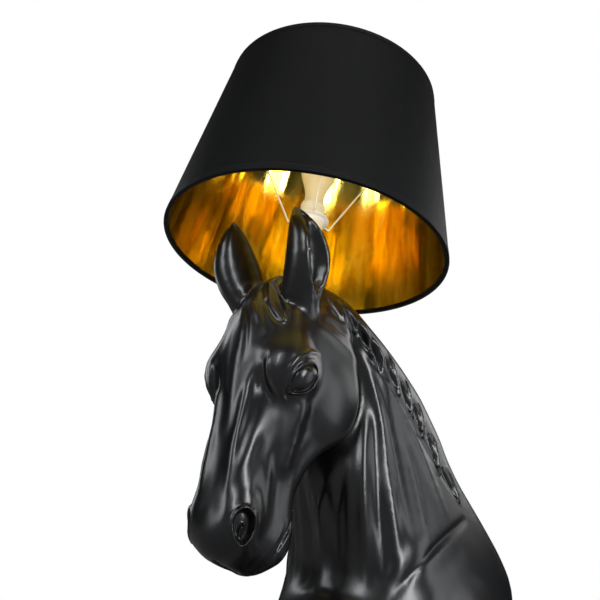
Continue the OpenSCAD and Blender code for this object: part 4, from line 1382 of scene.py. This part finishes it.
def build_cords():
    low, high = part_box("switch_base")
    switch_x = (low.x + high.x) / 2 / MM
    switch_y = (low.y + high.y) / 2 / MM
    low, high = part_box("plug_body")
    plug_x = (low.x + high.x) / 2 / MM
    lying = CORD_RADIUS  # height of the centre line on the floor
    # inside the lamp: y from the lamp axis, z
    inside = [(0, 663.5), (0, 620), (0, 565), (0, 538), (2, 516), (22, 494), (80, 482),
              (160, 440), (240, 350), (320, 230), (390, 110), (435, 50)]
    # under the lamp and over the floor to the switch: x, y, z
    floor_run = [
        (0, 146, 21), (0, 158, 20), (0, 180, 20), (0, 247, 20), (0, 254, 20), (3, 272, 16),
        (20, 304, 5), (58, 332, lying), (120, 344, lying), (190, 332, lying), (236, 298, lying),
        (switch_x - 1, 262, 4.2), (switch_x, switch_y + 50, 8), (switch_x, switch_y + 41, 9.5),
        (switch_x, switch_y + 34, 9.5)]
    build_cord("cord_lamp", [(0, y + AXIS_MM, z) for y, z in inside] + floor_run, 5.0,
               "lamp_cord")
    # from the switch to the plug: x, y, z
    mains = [
        (switch_x, switch_y - 34, 9.5), (switch_x, switch_y - 41, 9.5),
        (switch_x, switch_y - 52, 7.6), (switch_x + 1, switch_y - 72, 3.6),
        (switch_x + 8, switch_y - 104, lying), (switch_x + 36, switch_y - 135, lying),
        (switch_x + 80, switch_y - 136, lying), (plug_x - 4, switch_y - 100, lying),
        (plug_x, switch_y - 66, 4.5), (plug_x, switch_y - 42, 7.4),
        (plug_x, switch_y - 35.5, 7.4), (plug_x, switch_y - 30, 7.4)]
    build_cord("cord_mains", mains, 3.0, "mains_cord")


# ---------------------------------------------------------------- floor, light, camera
def link_to_scene(item):
    bpy.context.scene.collection.objects.link(item)


def build_floor():
    half = 30.0
    mesh = bpy.data.meshes.new("floor")
    mesh.from_pydata([(-half, -half, 0), (half, -half, 0), (half, half, 0), (-half, half, 0)],
                     [], [(0, 1, 2, 3)])
    floor = bpy.data.objects.new("floor", mesh)
    link_to_scene(floor)
    floor.location.z = -0.0006
    g = new_graph("floor_pale")
    colour = g.ramp(g.noise(scale=3), (0.80, 0.80, 0.80), (0.86, 0.86, 0.855))
    # the lamp sees a dimmer floor, as in a dark studio
    colour = g.mix(g.camera_ray(), (0.15, 0.15, 0.155), colour)
    mesh.materials.append(g.finish(
        Base_Color=colour, Roughness=0.75, Specular_IOR_Level=0.1,
        Normal=g.bump(g.noise(scale=220), strength=0.05, depth=0.0005)))


# what the linked lights shine on
LIT = {
    "lit_floor": ("floor",),
    "lit_shade": ("shade_foil", "shade_bottom_wire"),
    "lit_bulb": ("shade_carrier", "bulb_housing", "bulb_globe", "lampholder_skirt",
                 "shade_ring_nut", "slip_washer", "lampholder_cap", "bulb_cap",
                 "contact_shell"),
}


def build_world():
    """Plain white to the camera; to the lamp a dim studio, darkest just above the horizon."""
    world = bpy.data.worlds.new("studio")
    bpy.context.scene.world = world
    g = Graph(world)
    parts = g.node("ShaderNodeSeparateXYZ", {0: g.coordinates.outputs["Generated"]}).outputs
    studio = g.ramp(g.remap(parts["Z"], to=(0, 1), low=-1, high=1),
                    (0.05, 0.05, 0.052), (0.06, 0.061, 0.065), low=0.0, high=1.0,
                    between=((0.50, (0.024, 0.025, 0.027)), (0.62, (0.02, 0.021, 0.023)),
                             (0.80, (0.045, 0.046, 0.05))))
    dim = g.tree.nodes["Background"]
    g.plug(dim.inputs["Color"], studio)
    g.plug(dim.inputs["Strength"], 1.0)
    white = g.node("ShaderNodeBackground", {"Color": (1, 1, 1), "Strength": 1.0})
    seen = g.node("ShaderNodeMixShader",
                  {0: g.camera_ray(), 1: dim.outputs[0], 2: white.outputs[0]})
    g.plug(g.tree.nodes["World Output"].inputs["Surface"], seen.outputs[0])


def around(azimuth, elevation, distance):
    """A place round the lamp, 0.45 m up; azimuth in degrees from -y towards +x."""
    azimuth = math.radians(azimuth)
    elevation = math.radians(elevation)
    return (distance * math.cos(elevation) * math.sin(azimuth),
            AXIS_Y - distance * math.cos(elevation) * math.cos(azimuth),
            0.45 + distance * math.sin(elevation))


WHITE, COOL = (1, 1, 1), (0.955, 0.98, 1.0)
MIDDLE = (0, AXIS_Y + 0.05, 0.45)
# name, place, target, width, height, watts, colour, and the only things it lights
AREA_LIGHTS = [
    ("softbox_left", around(-22, 13, 2.2), MIDDLE, 0.6, 1.5, 20, COOL, None),
    ("softbox_right", around(132, 10, 2.2), (0, AXIS_Y + 0.15, 0.42), 0.8, 1.3, 7, COOL, None),
    ("strip_right", around(83, 14, 2.2), (0, AXIS_Y + 0.10, 0.40), 0.55, 1.3, 42, COOL, None),
    ("softbox_top", (0.2, AXIS_Y - 0.2, 2.9), (0, AXIS_Y, 0.9), 1.2, 1.2, 5, WHITE, None),
    ("strip_front", around(24, 18, 2.2), MIDDLE, 0.26, 1.1, 19, COOL, None),
    ("strip_far", around(-96, 18, 2.4), MIDDLE, 0.45, 1.4, 6.0, (0.96, 0.98, 1.0), None),
    ("rim_back", around(168, 30, 2.4), (0, AXIS_Y + 0.15, 0.5), 1.0, 0.9, 5.5, WHITE, None),
    # soft light into the shade from below and through the top, and on the bulb
    ("glow_below", (0.15, AXIS_Y - 0.25, 0.05), (0.15, AXIS_Y - 0.25, 0.85), 2.6, 2.4, 150,
     WHITE, "lit_shade"),
    ("glow_above", (-0.1, AXIS_Y + 0.1, 2.0), (0, AXIS_Y, 0.8), 2.6, 2.6, 48,
     (1.0, 0.97, 0.9), "lit_shade"),
    ("glow_bulb", (0.5, AXIS_Y - 0.5, 0.10), (0.0, AXIS_Y, 0.75), 1.2, 1.2, 24,
     (1.0, 0.95, 0.84), "lit_bulb"),
]


def build_lights():
    lit = {name: bpy.data.collections.new(name) for name in LIT}
    for item in bpy.context.scene.objects:
        for name, members in LIT.items():
            if item.name in members:
                lit[name].objects.link(item)
    build_world()
    for name, place, target, width, height, watts, colour, only in AREA_LIGHTS:
        light = bpy.data.lights.new(name, "AREA")
        light.shape = "RECTANGLE"
        light.size = width
        light.size_y = height
        light.energy = watts
        light.color = colour
        lamp = bpy.data.objects.new(name, light)
        link_to_scene(lamp)
        lamp.location = place
        aim = Vector(target) - Vector(place)
        lamp.rotation_euler = aim.to_track_quat("-Z", "Y").to_euler()
        if only:
            lamp.light_linking.receiver_collection = lit[only]
            lamp.visible_camera = False
    # an even light on the floor only, with the lamp's soft shadow
    light = bpy.data.lights.new("floor_light", "SUN")
    light.energy = 3.0
    light.angle = math.radians(70)
    sun = bpy.data.objects.new("floor_light", light)
    link_to_scene(sun)
    sun.rotation_euler = (math.radians(14), math.radians(-10), 0)
    sun.light_linking.receiver_collection = lit["lit_floor"]


def spin(degrees):
    """Rotation about the third axis."""
    cos, sin = math.cos(math.radians(degrees)), math.sin(math.radians(degrees))
    return np.array([[cos, -sin, 0], [sin, cos, 0], [0, 0, 1]])


def build_camera():
    """Low, in front and to the horse's left, tilted up and slightly rolled."""
    roll, tilt, turn = 10.03, math.radians(-25.06), 40.0
    pivot = np.array([0, 0, 640.0])  # a point on the lamp axis
    pivot_seen = np.array([7.4, -75.3, 1281.4])  # the pivot, right, down and ahead of the camera
    level = np.array([[1, 0, 0], [0, 0, -1], [0, 1, 0]], float)
    tilted = np.array([[1, 0, 0], [0, math.cos(tilt), -math.sin(tilt)],
                       [0, math.sin(tilt), math.cos(tilt)]])
    unturned = spin(roll) @ tilted @ level
    view = unturned @ spin(-turn)
    shift = pivot_seen - unturned @ pivot
    place = -view.T @ shift * MM + np.array([0, AXIS_Y, 0])
    data = bpy.data.cameras.new("camera")
    data.sensor_width = 36.0
    data.lens = 48.774
    data.clip_start = 0.02
    data.clip_end = 60
    camera = bpy.data.objects.new("camera", data)
    link_to_scene(camera)
    camera.matrix_world = Matrix([[view[0][i], -view[1][i], -view[2][i], place[i]]
                                  for i in range(3)] + [[0, 0, 0, 1]])
    bpy.context.scene.camera = camera


build_bust()
build_shade()
build_cords()

# pieces kept from the frame take the finish of their slot
for part in frame["record"]["subparts"]:
    piece = nodes[part["node"]]
    if not piece.hide_render:
        set_material(piece, MATERIALS[part["material_slot"]])

build_floor()
build_lights()
build_camera()
settings = bpy.context.scene.view_settings
settings.view_transform = "Standard"
settings.look = "None"
settings.exposure = 0.0
settings.gamma = 1.0
